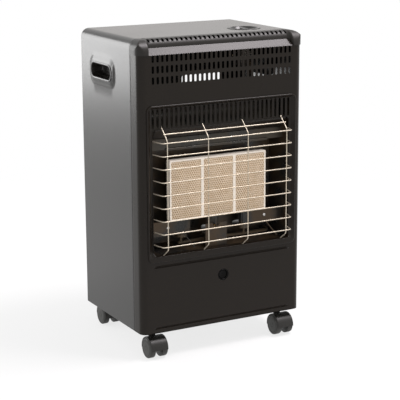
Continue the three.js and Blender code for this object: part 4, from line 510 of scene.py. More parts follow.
def along(path, section_radius, sides=12, taper=None):
    """Rings round a path: each ring stands square to the path, carried without twisting."""
    path = np.asarray(path, float)
    tangent = np.gradient(path, axis=0)
    tangent /= np.linalg.norm(tangent, axis=1)[:, None]
    side = np.cross(tangent[0], [0.31, 0.17, 0.93])
    side /= np.linalg.norm(side)
    frames = []
    for t in tangent:
        side = side - t * (side @ t)
        side /= np.linalg.norm(side)
        frames.append((side, np.cross(t, side)))
    sides_u = np.array([f[0] for f in frames])[:, None]
    sides_v = np.array([f[1] for f in frames])[:, None]
    angle = 2 * math.pi * np.arange(sides) / sides
    radius = np.full(len(path), section_radius) if taper is None else np.asarray(taper)
    spoke = np.cos(angle)[None, :, None] * sides_u + np.sin(angle)[None, :, None] * sides_v
    return path[:, None] + radius[:, None, None] * spoke


def bent(corners, radius, steps=8, straight=1):
    """A path through corners with an arc at each inner one."""
    corners = [np.array(c, float) for c in corners]
    path = [corners[0]]
    for before, here, after in zip(corners, corners[1:], corners[2:]):
        back = (before - here) / np.linalg.norm(before - here)
        ahead = (after - here) / np.linalg.norm(after - here)
        half = math.acos(float(np.clip(back @ ahead, -1, 1))) / 2
        middle = (back + ahead) / np.linalg.norm(back + ahead)
        centre = here + middle * radius / math.sin(half)
        start = here + back * radius / math.tan(half) - centre
        end = here + ahead * radius / math.tan(half) - centre
        sweep = math.pi - 2 * half
        for k in range(steps + 1):
            f = k / steps
            w = math.sin(sweep)
            path.append(centre + (math.sin((1 - f) * sweep) * start + math.sin(f * sweep) * end) / w)
    path.append(corners[-1])
    return np.array(path)


def lattice(us, vs, holes):
    """Flat cells between the lines us and vs, with round-cornered holes let in.

    Each hole is (u0, v0, u1, v1, radius, a0, b0, a1, b1): its edges, and the block of cells
    it lies in. Every point on the block's edge is joined to the hole's nearest edge point:
    the point clamped to the hole's core, pushed out by the radius.
    """
    nu, nv = len(us), len(vs)
    grid_u, grid_v = np.meshgrid(us, vs, indexing="ij")
    points = [np.stack([grid_u, grid_v], -1).reshape(-1, 2)]
    keep = np.ones((nu - 1, nv - 1), bool)
    count = nu * nv
    quads = []
    for u0, v0, u1, v1, radius, a0, b0, a1, b1 in holes:
        i0, i1 = (int(np.argmin(abs(us - a))) for a in (a0, a1))
        j0, j1 = (int(np.argmin(abs(vs - b))) for b in (b0, b1))
        keep[i0:i1, j0:j1] = False
        edge = [(i, j0) for i in range(i0, i1)] + [(i1, j) for j in range(j0, j1)]
        edge += [(i, j1) for i in range(i1, i0, -1)] + [(i0, j) for j in range(j1, j0, -1)]
        outer = np.array([i * nv + j for i, j in edge])
        at = np.stack([us[[e[0] for e in edge]], vs[[e[1] for e in edge]]], -1)
        core = np.clip(at, [u0 + radius, v0 + radius], [u1 - radius, v1 - radius])
        spoke = at - core
        inner = core + radius * spoke / np.linalg.norm(spoke, axis=1)[:, None]
        points.append(inner)
        n = len(edge)
        k = np.arange(n)
        quads.append(np.stack([outer, outer[(k + 1) % n], count + (k + 1) % n, count + k], -1))
        count += n
    i, j = np.nonzero(keep)
    a = i * nv + j
    quads.append(np.stack([a, a + nv, a + nv + 1, a + 1], -1))
    quads = np.vstack(quads)
    points = np.vstack(points)
    used = np.unique(quads)
    renumber = np.zeros(len(points), int)
    renumber[used] = np.arange(len(used))
    return points[used], renumber[quads]


def pressed_sheet(flat, quads, shape, thickness=SHEET):
    """A closed sheet: the flat cells carried by shape(u, v, depth) at depth 0 and at the
    sheet's thickness, and a narrow rim along every edge that has a face on one side only."""
    front = shape(flat[:, 0], flat[:, 1], 0.0)
    rear = shape(flat[:, 0], flat[:, 1], thickness)
    n = len(flat)
    edges = np.vstack([quads[:, [k, (k + 1) % 4]] for k in range(4)])
    key = np.sort(edges, 1)
    _, where, seen = np.unique(key, axis=0, return_index=True, return_counts=True)
    rim = edges[where[seen == 1]]
    skin = Skin()
    walls = np.stack([rim[:, 1], rim[:, 0], rim[:, 0] + n, rim[:, 1] + n], -1)
    skin.add(np.vstack([front, rear]), np.vstack([quads, quads[:, ::-1] + n, walls]))
    return skin


def lines(*runs):
    """Lattice lines from runs of (start, end, count), end left out, and a last value."""
    out = [np.linspace(a, b, n, endpoint=False) for a, b, n in runs[:-1]]
    return np.concatenate([*out, [runs[-1]]])


def vent_lines():
    """Four lines for every slot of a row, and the row's two outer edges."""
    half = VENT_COUNT * VENT_PITCH / 2
    return np.linspace(-half, half, VENT_COUNT * 4 + 1)


def vent_holes(z, half_height, block_half):
    holes = []
    for k in range(VENT_COUNT):
        x = (k - (VENT_COUNT - 1) / 2) * VENT_PITCH
        edges = (x - VENT_HALF, z - half_height, x + VENT_HALF, z + half_height)
        block = (x - VENT_PITCH / 2, z - block_half, x + VENT_PITCH / 2, z + block_half)
        holes.append((*edges, VENT_ROUND, *block))
    return holes


# ------------------------------------------------------------------ cabinet front

BEND_RUN = CORNER_BEND * math.pi / 2
PANEL_HALF = SIDE - CORNER_BEND


def rolled_edge(run):
    """Inset of an edge that rolls in by a quarter circle of 1.4 mm within its last 1.4 mm."""
    return 1.4 - np.sqrt(1.4 ** 2 - np.clip(1.4 - run, 0, 1.39) ** 2)


def panel_plan(s, inset):
    """Point of the U-shaped plan at run s, moved inwards: flat face, quarter bends, sides."""
    run = np.abs(s)
    turn = np.clip((run - PANEL_HALF) / CORNER_BEND, 0, math.pi / 2)
    past = np.clip(run - PANEL_HALF - BEND_RUN, 0, None)
    radius = CORNER_BEND - inset
    x = np.minimum(run, PANEL_HALF) + radius * np.sin(turn)
    y = FRONT + CORNER_BEND - radius * np.cos(turn) + past
    return np.sign(s) * x, y


def panel_shape(s, t, depth):
    """Front panel: t is the height, with a foot flange below, two rolled beads, the strip
    that leans back over the fold and a flange behind it. A bead goes in by a steep wall at
    its foot and comes out above by a parabola. Depth goes through the sheet."""
    low = SKIRT - t
    foot = np.clip(low, 0, None)
    in_bend = np.clip((t - SKIRT) / 3.0, 0, 1)
    width = np.clip((PANEL_HALF - np.abs(s)) / 9.0, 0, 1)
    lean = np.clip(t - FOLD, 0, STRIP)
    flange = np.clip(t - FOLD - STRIP, 0, None)
    high = np.clip(t - FOLD, 0, None)
    inset = foot + width * (lean + flange)
    z = np.clip(t, SKIRT, FOLD) + width * lean + (1 - width) * high * 0.35
    reach = np.clip((179 - np.abs(s)) / 4.0, 0, 1)
    for bead in BEAD_ROWS:
        rise = np.clip((t - bead + 2.6) / 0.6, 0, 1)
        across = np.clip(1 - (np.clip(t - bead + 2.0, 0, None) / 4.8) ** 2, 0, None)
        inset = inset + 2.2 * rise * across * reach
    inset = inset + rolled_edge(PANEL_HALF + BEND_RUN + 25 - np.abs(s)) * (low <= 0)
    level = np.where(low > 0, 0.0, in_bend)
    on_strip = np.clip((t - FOLD) / 0.8, 0, 1) * width
    on_flange = np.clip((t - FOLD - STRIP) / 0.8, 0, 1) * width
    out_in = level * (1 - on_strip * (1 - math.sqrt(0.5))) * (1 - on_flange)
    up_down = (1 - level) - on_strip * math.sqrt(0.5) * (1 - on_flange) - on_flange
    x, y = panel_plan(s, inset + depth * out_in)
    return np.stack([x, y, z + depth * up_down], -1)


def front_panel():
    vents = vent_lines()
    edge = vents[-1]
    left = lines((-PANEL_HALF - BEND_RUN - 25, -PANEL_HALF - BEND_RUN - 23.6, 4),
                 (-PANEL_HALF - BEND_RUN - 23.6, -PANEL_HALF - BEND_RUN, 4),
                 (-PANEL_HALF - BEND_RUN, -PANEL_HALF, 14), (-PANEL_HALF, -edge, 4), -edge)
    us = np.concatenate([left[:-1], vents, -left[::-1][1:]])
    block = 24 / 4
    rows = [z + k * block for z in VENT_ROWS for k in (-2, -1, 0, 1)]
    vs = np.concatenate([
        lines((48, 58, 4), (58, 64, 6), (64, 70, 2), (70, 78, 16), (78, 156, 8), (156, 198, 14),
              (198, 214, 3), (214, 223, 16), (223, 229, 2), (229, 231, 1), (231, 249, 8),
              (249, 566, 12), (566, 584, 8), (584, 586, 1), (586, 629, 5), rows[0])[:-1],
        rows[:-1],
        lines((rows[-1], 697, 2), (697, 698.5, 3), (698.5, 711.5, 4), (711.5, 713, 3),
              (713, 727, 3), 727.0),
    ])
    step = VENT_PITCH / 4
    holes = []
    for z in VENT_ROWS[:2]:
        holes += vent_holes(z, 8.0, 12.0)
    holes += vent_holes(VENT_ROWS[2], 8.0, 12.0)
    holes.append((-WINDOW_HALF - 1.2, WINDOW_LOW - 1.2, WINDOW_HALF + 1.2, WINDOW_HIGH + 1.2, 13.2,
                  -PANEL_HALF, 229.0, PANEL_HALF, 586.0))
    holes.append((-14.0, BUTTON_Z - 14, 14.0, BUTTON_Z + 14, 13.999,
                  -step * 7, 156.0, step * 7, 198.0))
    flat, quads = lattice(us, vs, holes)
    skin = pressed_sheet(flat, quads, panel_shape)
    lip = [(1.3, FRONT + 0.01), (0.8, FRONT + 0.08), (0.35, FRONT + 0.3), (0.08, FRONT + 0.7), (0.0, FRONT + 1.2),
           (0.0, FRONT + 9), (1.0, FRONT + 9), (1.0, FRONT + 1.5), (1.3, FRONT + 0.95)]
    rings = [at_y(rounded(-WINDOW_HALF - grow, WINDOW_LOW - grow, WINDOW_HALF + grow, WINDOW_HIGH + grow,
                          12.0 + grow, 5.0), y) for grow, y in lip]
    skin.grid(np.array(rings), around=True, along=True)
    return skin.make("front_panel_sheet", FRONT_ENAMEL_PAINTED_SHADE, stands_for="front_panel", slot="satin_black")


front_panel()


# ------------------------------------------------------------------ cabinet wrap

TOP_RUN = TOP_BEND * math.pi / 2
WRAP_FLAT = SIDE - TOP_BEND
WRAP_RISE = HEIGHT - TOP_BEND - SKIRT


def wrap_section(s, inset):
    """Point of the upside-down U at run s from the middle of the top: top, bend, side."""
    run = np.abs(s)
    turn = np.clip((run - WRAP_FLAT) / TOP_BEND, 0, math.pi / 2)
    past = np.clip(run - WRAP_FLAT - TOP_RUN, 0, None)
    radius = TOP_BEND - inset
    x = np.minimum(run, WRAP_FLAT) + radius * np.sin(turn)
    z = HEIGHT - TOP_BEND + radius * np.cos(turn) - past
    return np.sign(s) * x, z


def grip_swell(y, z):
    """Height of the pressed surround: full within a rounded box, falling in a smooth slope."""
    dy = np.clip(np.abs(y - GRIP_Y) - 42.0, 0, None)
    dz = np.clip(np.abs(z - GRIP_Z) - 6.0, 0, None)
    far = np.hypot(dy, dz * 0.93)
    fall = np.clip((far - 14.5) / 14.0, 0, 1)
    return 4.0 * (1 - fall * fall * (3 - 2 * fall))


def wrap_shape(s, t, depth):
    """Wrap: t runs from the seam to the rear edge and then turns inwards as the rear flange,
    and below the skirt the side turns inwards as the foot flange."""
    run = np.abs(s)
    foot_run = WRAP_FLAT + TOP_RUN + WRAP_RISE
    foot = np.clip(run - foot_run, 0, None)
    rear = np.clip(t - BACK, 0, None) + rolled_edge(t - SEAM - 0.4)
    on_rear = np.clip((t - BACK + 0.6) / 1.2, 0, 1)
    on_foot = np.clip((run - foot_run + 0.6) / 1.2, 0, 1)
    narrow = np.clip((run - WRAP_FLAT - TOP_RUN) / 30.0, 0, 1)
    rear = rear * np.where(t > BACK, (16 + 8 * narrow) / 24, 1.0)
    x, z = wrap_section(np.sign(s) * np.minimum(run, foot_run), rear + depth * (1 - on_rear) * (1 - on_foot))
    swell = grip_swell(t, z) * (run > WRAP_FLAT + TOP_RUN)
    x = x + np.sign(s) * (swell - foot)
    y = np.minimum(t, BACK) - depth * on_rear
    z = z + depth * on_foot * (1 - on_rear)
    return np.stack([x, y, z], -1)


def cabinet_wrap():
    side_end = WRAP_FLAT + TOP_RUN + WRAP_RISE
    grip_at = WRAP_FLAT + TOP_RUN + (HEIGHT - TOP_BEND - GRIP_Z)
    half = np.concatenate([
        lines((0, KNOB_X - 42, 6), (KNOB_X - 42, KNOB_X + 42, 42), (KNOB_X + 42, WRAP_FLAT, 3),
              (WRAP_FLAT, WRAP_FLAT + TOP_RUN, 18), WRAP_FLAT + TOP_RUN)[:-1],
        lines((WRAP_FLAT + TOP_RUN, grip_at - 36, 4), (grip_at - 36, grip_at + 36, 36),
              (grip_at + 36, side_end - 2, 24), (side_end - 2, side_end + 2, 4),
              (side_end + 2, side_end + 14, 3), side_end + 14),
    ])
    us = np.concatenate([-half[::-1][:-1], half])
    vs = lines((SEAM + 0.4, SEAM + 1.8, 4), (SEAM + 1.8, KNOB_Y - 42, 4), (KNOB_Y - 42, GRIP_Y - 78, 12), (GRIP_Y - 78, GRIP_Y + 78, 60),
               (GRIP_Y + 78, BACK - 2, 6), (BACK - 2, BACK + 2, 6), (BACK + 2, BACK + 24, 4), BACK + 24)
    holes = []
    for side in (-1, 1):
        ends = sorted((side * (grip_at - 24), side * (grip_at + 24)))
        edge = sorted((side * (grip_at - 17.5), side * (grip_at + 17.5)))
        holes.append((edge[0], GRIP_Y - 53, edge[1], GRIP_Y + 53, 15.5,
                      ends[0], GRIP_Y - 59.8, ends[1], GRIP_Y + 59.8))
    ahead = float(vs[np.argmin(abs(vs - (KNOB_Y - 42)))])
    behind = float(vs[np.argmin(abs(vs - (KNOB_Y + 42)))])
    holes.append((KNOB_X - 34.5, KNOB_Y - 34.5, KNOB_X + 34.5, KNOB_Y + 34.5, 34.49,
                  KNOB_X - 42, ahead, KNOB_X + 42, behind))
    flat, quads = lattice(us, vs, holes)
    skin = pressed_sheet(flat, quads, wrap_shape)
    return skin.make("cabinet_wrap_sheet", ENAMEL, stands_for="cabinet_wrap", slot="satin_black")


cabinet_wrap()

class Run:
    """A bent path in a plane by its length: open corners with radii, a point and the side
    that lies to the left of the way at every length."""

    def __init__(self, corners, step=5.0):
        closed = fillet([*corners], step)
        first = np.array(corners[0][:2], float)
        start = int(np.argmin(np.hypot(*(closed - first).T)))
        path = np.roll(closed, -start, axis=0)
        hops = np.hypot(*np.diff(path, axis=0).T)
        path = path[np.concatenate([[True], hops > 1e-6])]
        way = np.diff(path, axis=0)
        length = np.hypot(*way.T)
        left = np.stack([-way[:, 1], way[:, 0]], -1) / length[:, None]
        side = np.vstack([left[:1], left[:-1] + left[1:], left[-1:]])
        self.side = side / np.hypot(*side.T)[:, None]
        self.path = path
        self.at = np.concatenate([[0.0], np.cumsum(length)])
        self.length = self.at[-1]

    def point(self, s, depth=0.0):
        """The path's point at length s, moved to its left by depth."""
        a, b = (np.interp(s, self.at, self.path[:, k]) for k in (0, 1))
        na, nb = (np.interp(s, self.at, self.side[:, k]) for k in (0, 1))
        size = np.hypot(na, nb)
        return a + na / size * depth, b + nb / size * depth


def pulled_in(outline, distance):
    """A closed outline moved inwards: each point goes along the mean normal of its edges."""
    ahead = np.roll(outline, -1, axis=0) - outline
    before = outline - np.roll(outline, 1, axis=0)
    way = ahead / np.hypot(*ahead.T)[:, None] + before / np.hypot(*before.T)[:, None]
    normal = np.stack([-way[:, 1], way[:, 0]], -1)
    return outline + distance * normal / np.hypot(*normal.T)[:, None]


def slab(skin, outline, place, low, high, edge=0.5):
    """A block between two planes with its outline's edges rounded off by two small steps."""
    near = 0.3 * edge
    steps = [(low, edge), (low + near, near), (low + edge, 0.0), (high - edge, 0.0),
             (high - near, near), (high, edge)]
    skin.tube([place(pulled_in(outline, inset), at) for at, inset in steps])
    return skin


def ring_band(skin, outline_at, place, section):
    """A closed band round an outline; section lists (grow of the outline, depth)."""
    rings = [place(outline_at(grow), at) for grow, at in section]
    return skin.grid(np.array(rings), around=True, along=True)


def screw(skin, place, axis, radius=3.2, high=1.6):
    """A pan-head screw standing on a plane, with a shallow cross of two grooves let in."""
    dome = np.linspace(0, math.pi / 2, 7)
    profile = [(0.0, high * 0.55), (radius * 0.42, high * 0.55), (radius * 0.48, high)]
    profile += [(radius * (0.55 + 0.45 * math.sin(a)), high * math.cos(a) ** 0.7) for a in dome[:-1]]
    profile += [(radius, 0.0), (radius, -0.6), (0.0, -0.6)]
    profile = np.array(profile)
    if axis[0] == "-":
        profile[:, 1] *= -1
    return skin.grid(lathe(profile, 20, axis[-1], place), around=True)


# ------------------------------------------------------------------ top front trim

EAR_INNER = 178.5
EAR_BLEND = 8.0
TRIM_HALF = SIDE + 2.0
TRIM_FACE = FRONT - 2.0
NOSE_FACE = FRONT + 14.0
NOSE_FOOT = FOLD + STRIP + 0.3
NOSE = Run([(NOSE_FACE, NOSE_FOOT), (NOSE_FACE, HEIGHT, 17.9), (SEAM, HEIGHT), (SEAM, NOSE_FOOT)], 4.0)
EAR = Run([(TRIM_FACE, FOLD), (TRIM_FACE, HEIGHT, 29.9), (SEAM, HEIGHT), (SEAM, FOLD)], 4.0)
NOSE_RUN = 18.0 * math.pi / 2 + (SEAM - NOSE_FACE - 18.0) + (HEIGHT - NOSE_FOOT - 18.0)
EAR_RUN = 30.0 * math.pi / 2 + (SEAM - TRIM_FACE - 30.0) + (HEIGHT - FOLD - 30.0)


def trim_shape(u, v, depth):
    """Between the ears the nose's section, beyond them the ear's, blended over a few mm.

    The ear is cut back towards its outer end by the quarter circles of plan and elevation:
    y is at least front + R - sqrt(R^2 - d^2), z at most top - r + sqrt(r^2 - d^2). Beyond
    the last column u goes on down the flat side to the fold's height."""
    x = np.minimum(np.abs(u), TRIM_HALF)
    down = np.clip(np.abs(u) - TRIM_HALF, 0, None) / 11.0
    fraction = v / NOSE_RUN
    nose_y, nose_z = NOSE.point(v, -depth)
    ear_y, ear_z = EAR.point(fraction * EAR_RUN, -depth)
    mix = np.clip((x - EAR_INNER) / EAR_BLEND, 0, 1)
    mix = mix * mix * (3 - 2 * mix)
    y = nose_y + (ear_y - nose_y) * mix
    z = nose_z + (ear_z - nose_z) * mix
    plan = np.clip(x - (TRIM_HALF - 19.0), 0, 19.0)
    tall = np.clip(x - (TRIM_HALF - 22.0), 0, 22.0)
    y = np.maximum(y, TRIM_FACE + depth + 19.0 - np.sqrt(19.0 ** 2 - plan ** 2))
    z = np.minimum(z, HEIGHT - depth - 22.0 + np.sqrt(22.0 ** 2 - tall ** 2))
    y = np.minimum(y, SEAM)
    z = z + (FOLD - z) * np.clip(down, 0, 1)
    x = x - depth * np.clip((x - TRIM_HALF + 12.0) / 12.0, 0, 1)
    return np.stack([np.sign(u) * x, y, z], -1)


def top_front_trim():
    vents = vent_lines()
    edge = vents[-1]
    bend = TRIM_HALF - 22.0 * (1 - np.sin(np.linspace(0, math.pi / 2, 12)))
    right = np.concatenate([
        [EAR_INNER - 0.6], lines((EAR_INNER, EAR_INNER + EAR_BLEND, 10), (EAR_INNER + EAR_BLEND, bend[0], 2), bend[0])[:-1],
        bend, TRIM_HALF + np.linspace(0, 11.0, 5)[1:],
    ])
    us = np.concatenate([-right[::-1], vents, right])
    vs = lines((0, 9, 4), (9, 27, 12), (27, NOSE_RUN, 4), NOSE_RUN)
    holes = []
    for k in range(VENT_COUNT):
        x = (k - (VENT_COUNT - 1) / 2) * VENT_PITCH
        holes.append((x - VENT_HALF, 12.0, x + VENT_HALF, 24.0, VENT_ROUND,
                      x - VENT_PITCH / 2, 9.0, x + VENT_PITCH / 2, 27.0))
    flat, quads = lattice(us, vs, holes)
    skin = pressed_sheet(flat, quads, trim_shape, 1.6)
    return skin.make("top_trim_moulding", TRIM_PLASTIC, stands_for="top_front_trim", slot="dark_plastic",
                     smooth=62)


top_front_trim()


# ------------------------------------------------------------------ handle cups


def grip_outline(grow):
    return rounded(GRIP_Y - 53 - grow, GRIP_Z - 17.5 - grow, GRIP_Y + 53 + grow, GRIP_Z + 17.5 + grow,
                   15.5 + grow, 5.0)


def handle(name, side):
    """The cup as one skin from its inner floor over the rim to its outer floor, and two ribs."""
    skin = Skin()
    section = [(-6.5, 185.9), (-4.6, 186.6), (-3.5, 188.6), (-1.9, 204.0), (-1.9, 213.6), (-1.6, 214.7),
               (-0.9, 215.3), (0.2, 215.5), (1.6, 215.5), (2.2, 215.2), (2.5, 214.7), (2.5, 214.3),
               (-0.3, 214.3), (-0.3, 204.0), (-1.9, 186.5), (-3.4, 184.4)]
    skin.tube([at_x(grip_outline(grow), side * x) for grow, x in section])
    for z in (GRIP_Z - 5.5, GRIP_Z + 5.5):
        arc = np.linspace(0, math.pi, 9)
        ridge = np.stack([z + 1.25 * np.cos(arc), 185.4 + 2.9 * np.sin(arc) ** 0.6], -1)
        ends = [(GRIP_Y - 37.5, 0.4), (GRIP_Y - 36.8, 0.8), (GRIP_Y - 35.5, 1.0),
                (GRIP_Y + 35.5, 1.0), (GRIP_Y + 36.8, 0.8), (GRIP_Y + 37.5, 0.4)]
        rows = []
        for y, size in ends:
            a = z + (ridge[:, 0] - z) * size
            b = 185.4 + (ridge[:, 1] - 185.4) * size
            rows.append(np.stack([side * b, np.full(len(a), y), a], -1))
        skin.tube(rows)
    return skin.make(f"{name}_cup", GRIP_PLASTIC, stands_for=name, slot="dark_plastic")


handle("handle_left", -1)
handle("handle_right", 1)


# ------------------------------------------------------------------ heater bezel

BEZEL_Y = FRONT + 4.0
RIM_FACE = FRONT - 3.6
OPEN_HALF = 177.0
OPEN_LOW = 243.0
OPEN_HIGH = 531.0


def bezel_outline(grow):
    return rounded(-WINDOW_HALF - grow, WINDOW_LOW - grow, WINDOW_HALF + grow, WINDOW_HIGH + grow, 12.0 + grow, 5.0)


def bezel_opening(grow):
    return rounded(-OPEN_HALF - grow, OPEN_LOW - grow, OPEN_HALF + grow, OPEN_HIGH + grow, 8.0 + grow, 5.0)


def border_rise(u, v):
    """How far the border stands in front of the plate: fully below the opening, and on a
    straight slope towards the rim at the sides and the top."""
    from_side = (WINDOW_HALF - 1.2 - np.abs(u)) / 8.5
    from_top = (WINDOW_HIGH - 1.2 - v) / 4.8
    from_foot = (v - OPEN_LOW - 2.0) / 8.0
    inward = np.clip(np.minimum(np.minimum(from_side, from_top), from_foot), 0, 1)
    return (BEZEL_Y - RIM_FACE) * (1 - inward)


def bezel_shape(u, v, depth):
    """The flat plate; outer points are held on the rounded outline of the window, and the
    border comes forward to a rim that stands proud of the front panel."""
    half, low, high, r = WINDOW_HALF - 1.2, WINDOW_LOW + 1.2, WINDOW_HIGH - 1.2, 10.8
    core_u = np.clip(u, -half + r, half - r)
    core_v = np.clip(v, low + r, high - r)
    du, dv = u - core_u, v - core_v
    far = np.maximum(np.hypot(du, dv), 1e-9)
    pull = np.minimum(1.0, r / far)
    return np.stack([core_u + du * pull, BEZEL_Y - border_rise(u, v) + depth, core_v + dv * pull], -1)


def heater_bezel():
    vents = vent_lines()
    edge = vents[-1]
    side = lines((edge, WINDOW_HALF - 1.2, 6), WINDOW_HALF - 1.2)[1:]
    us = np.concatenate([-side[::-1], vents, side])
    vs = lines((WINDOW_LOW + 1.2, 241, 6), (241, OPEN_HIGH + 2, 24), (OPEN_HIGH + 2, 528 + 4, 1),
               (532.5, 533.5, 1), (533.5, 577.5, 4), (577.5, WINDOW_HIGH - 1.2, 5), WINDOW_HIGH - 1.2)
    vs = np.unique(np.round(vs, 4))
    holes = []
    for k in range(VENT_COUNT):
        x = (k - (VENT_COUNT - 1) / 2) * VENT_PITCH
        holes.append((x - VENT_HALF, 534.0, x + VENT_HALF, 577.0, 2.85,
                      x - VENT_PITCH / 2, 533.5, x + VENT_PITCH / 2, 577.5))
    block_low = float(vs[np.argmin(abs(vs - 241.0))])
    block_high = float(vs[np.argmin(abs(vs - 533.0))])
    column = float(us[np.argmin(abs(us - edge))])
    holes.append((-OPEN_HALF - 1.2, OPEN_LOW - 1.2, OPEN_HALF + 1.2, OPEN_HIGH + 1.2, 9.2,
                  -column, block_low, column, block_high))
    flat, quads = lattice(us, vs, holes)
    skin = pressed_sheet(flat, quads, bezel_shape, 1.2)
    ring_band(skin, bezel_outline, at_y, [
        (-1.6, RIM_FACE), (-0.7, RIM_FACE - 0.05), (0.3, RIM_FACE + 0.1), (1.1, RIM_FACE + 0.5),
        (1.6, RIM_FACE + 1.1), (1.9, RIM_FACE + 2.0), (1.9, FRONT - 0.03), (-0.3, FRONT - 0.03), (-0.3, BEZEL_Y + 14),
        (-1.5, BEZEL_Y + 14), (-1.6, RIM_FACE + 1.0)])
    lip = [(1.5, 0.0), (0.9, 0.0), (0.4, 0.2), (0.1, 0.6), (0.0, 1.2), (0.0, 9.0), (1.2, 9.0), (1.3, 1.0)]
    rings = []
    for grow, back in lip:
        edge_line = bezel_opening(grow)
        rise = border_rise(edge_line[:, 0], edge_line[:, 1]) * (back < 9.0)
        rings.append(np.stack([edge_line[:, 0], BEZEL_Y + back - rise, edge_line[:, 1]], -1))
    skin.grid(np.array(rings), around=True, along=True)
    visor = Run([(BEZEL_Y + 0.3, OPEN_HIGH + 0.4, 0), (BEZEL_Y + 2.2, OPEN_HIGH - 3.5, 3), (BEZEL_Y + 17, 509.5, 6),
                 (BEZEL_Y + 18.2, 508, 0), (BEZEL_Y + 30, 540, 0)])
    flat, quads = lattice(np.linspace(-169, 169, 9), np.linspace(0, 31.0, 17), [])

    def visor_shape(u, v, depth):
        y, z = visor.point(v, depth)
        return np.stack([u, y, z], -1)

    sheet = pressed_sheet(flat, quads, visor_shape, 1.1)
    skin.add(np.vstack(sheet.points), sheet.faces)
    return skin.make("heater_bezel_pressing", FRONT_ENAMEL_PAINTED_SHADE, stands_for="heater_bezel", slot="satin_black")


heater_bezel()


# ------------------------------------------------------------------ wire guard


def wire_guard():
    """Round wires on bent paths; crossing wires lie 0.8 mm into each other, as if welded."""
    skin = Skin()
    end_half = OPEN_HALF - WIRE - SEAT
    for rung in range(9):
        z = 269.5 + 29.5 * rung
        corners = [(-end_half, FRONT + 10, z), (-167, GUARD_Y, z), (167, GUARD_Y, z), (end_half, FRONT + 10, z)]
        skin.tube(along(bent(corners, 7.0, 8), WIRE_DRAWN, 16))
    y = GUARD_Y + 2 * WIRE - 0.8
    seat = BEZEL_Y - 0.1
    for x in np.linspace(-154.5, 154.5, 4):
        corners = [(x, seat, 537.0 - 1.2), (x, y, 509.0), (x, y, 262.0), (x, seat, 240.0 + 1.2)]
        skin.tube(along(bent(corners, 9.0, 8), WIRE_DRAWN, 16))
    cross = y + (seat - y) / 2 - 2 * WIRE + 0.8
    skin.tube(along([(-158, cross, 523.0), (0, cross, 523.0), (158, cross, 523.0)], WIRE_DRAWN, 16))
    return skin.make("wire_guard_wires", WIRE_FINISH, stands_for="wire_guard", slot="plated_wire", smooth=60)


wire_guard()


# ------------------------------------------------------------------ burner and deflector

BURNER_LOW, BURNER_HIGH = 313.5, 454.5
COLUMN = (252 - 8 + 7) / 3
BURNER_FACE = FRONT + 21.0


def plaque_frame():
    skin = Skin()
    z0, z1 = BURNER_LOW + 4, BURNER_HIGH - 4
    us = np.unique(np.concatenate([
        [-125.2, -124.4, 124.4, 125.2],
        *[np.linspace(x - (COLUMN - 7) / 2 - 2.4, x + (COLUMN - 7) / 2 + 2.4, 13) for x in (-COLUMN, 0, COLUMN)],
    ]))
    vs = lines((BURNER_LOW + 0.8, z0 - 1.6, 2), (z0 - 1.6, z1 + 1.6, 14), (z1 + 1.6, BURNER_HIGH - 0.8, 2), BURNER_HIGH - 0.8)
    holes = []
    for x in (-COLUMN, 0, COLUMN):
        half = (COLUMN - 7) / 2
        holes.append((x - half, z0, x + half, z1, 1.2, x - half - 2.4, z0 - 1.6, x + half + 2.4, z1 + 1.6))
    flat, quads = lattice(us, vs, holes)

    def shape(u, v, depth):
        """The face, with each bar between two plaques swelling forward by half a mm."""
        near = np.minimum(np.abs(u - COLUMN / 2), np.abs(u + COLUMN / 2))
        swell = 0.0 * u + 0.5 * np.clip(1 - (near / 3.2) ** 2, 0, None)
        return np.stack([u, BURNER_FACE + 0.6 - swell + depth, v], -1)

    sheet = pressed_sheet(flat, quads, shape, 0.7)
    skin.add(np.vstack(sheet.points), sheet.faces)

    def rim(grow):
        return rounded(-126 - grow, BURNER_LOW - grow, 126 + grow, BURNER_HIGH + grow, 1.6 + grow, 15)

    ring_band(skin, rim, at_y, [
        (-1.3, BURNER_FACE + 0.7), (-0.8, BURNER_FACE + 0.1), (-0.3, BURNER_FACE + 0.15), (0.0, BURNER_FACE + 0.8),
        (0.0, BURNER_FACE + 16.5), (-1.2, BURNER_FACE + 16.5), (-1.2, BURNER_FACE + 1.3)])
    return skin.make("burner_frame", ALUMINISED, stands_for="plaque_frame", slot="aluminised_steel")


def plaques():
    for x, name in ((-COLUMN, "left"), (0.0, "middle"), (COLUMN, "right")):
        half = (COLUMN - 0.3) / 2 - 1.2
        outline = rounded(x - half, BURNER_LOW + 1.5, x + half, BURNER_HIGH - 1.5, 0.8, 30)
        slab(Skin(), outline, at_y, FRONT + 22, FRONT + 34, 0.6).make(
            f"plaque_{name}_tile", CERAMIC, stands_for=f"plaque_{name}", slot="ceramic")


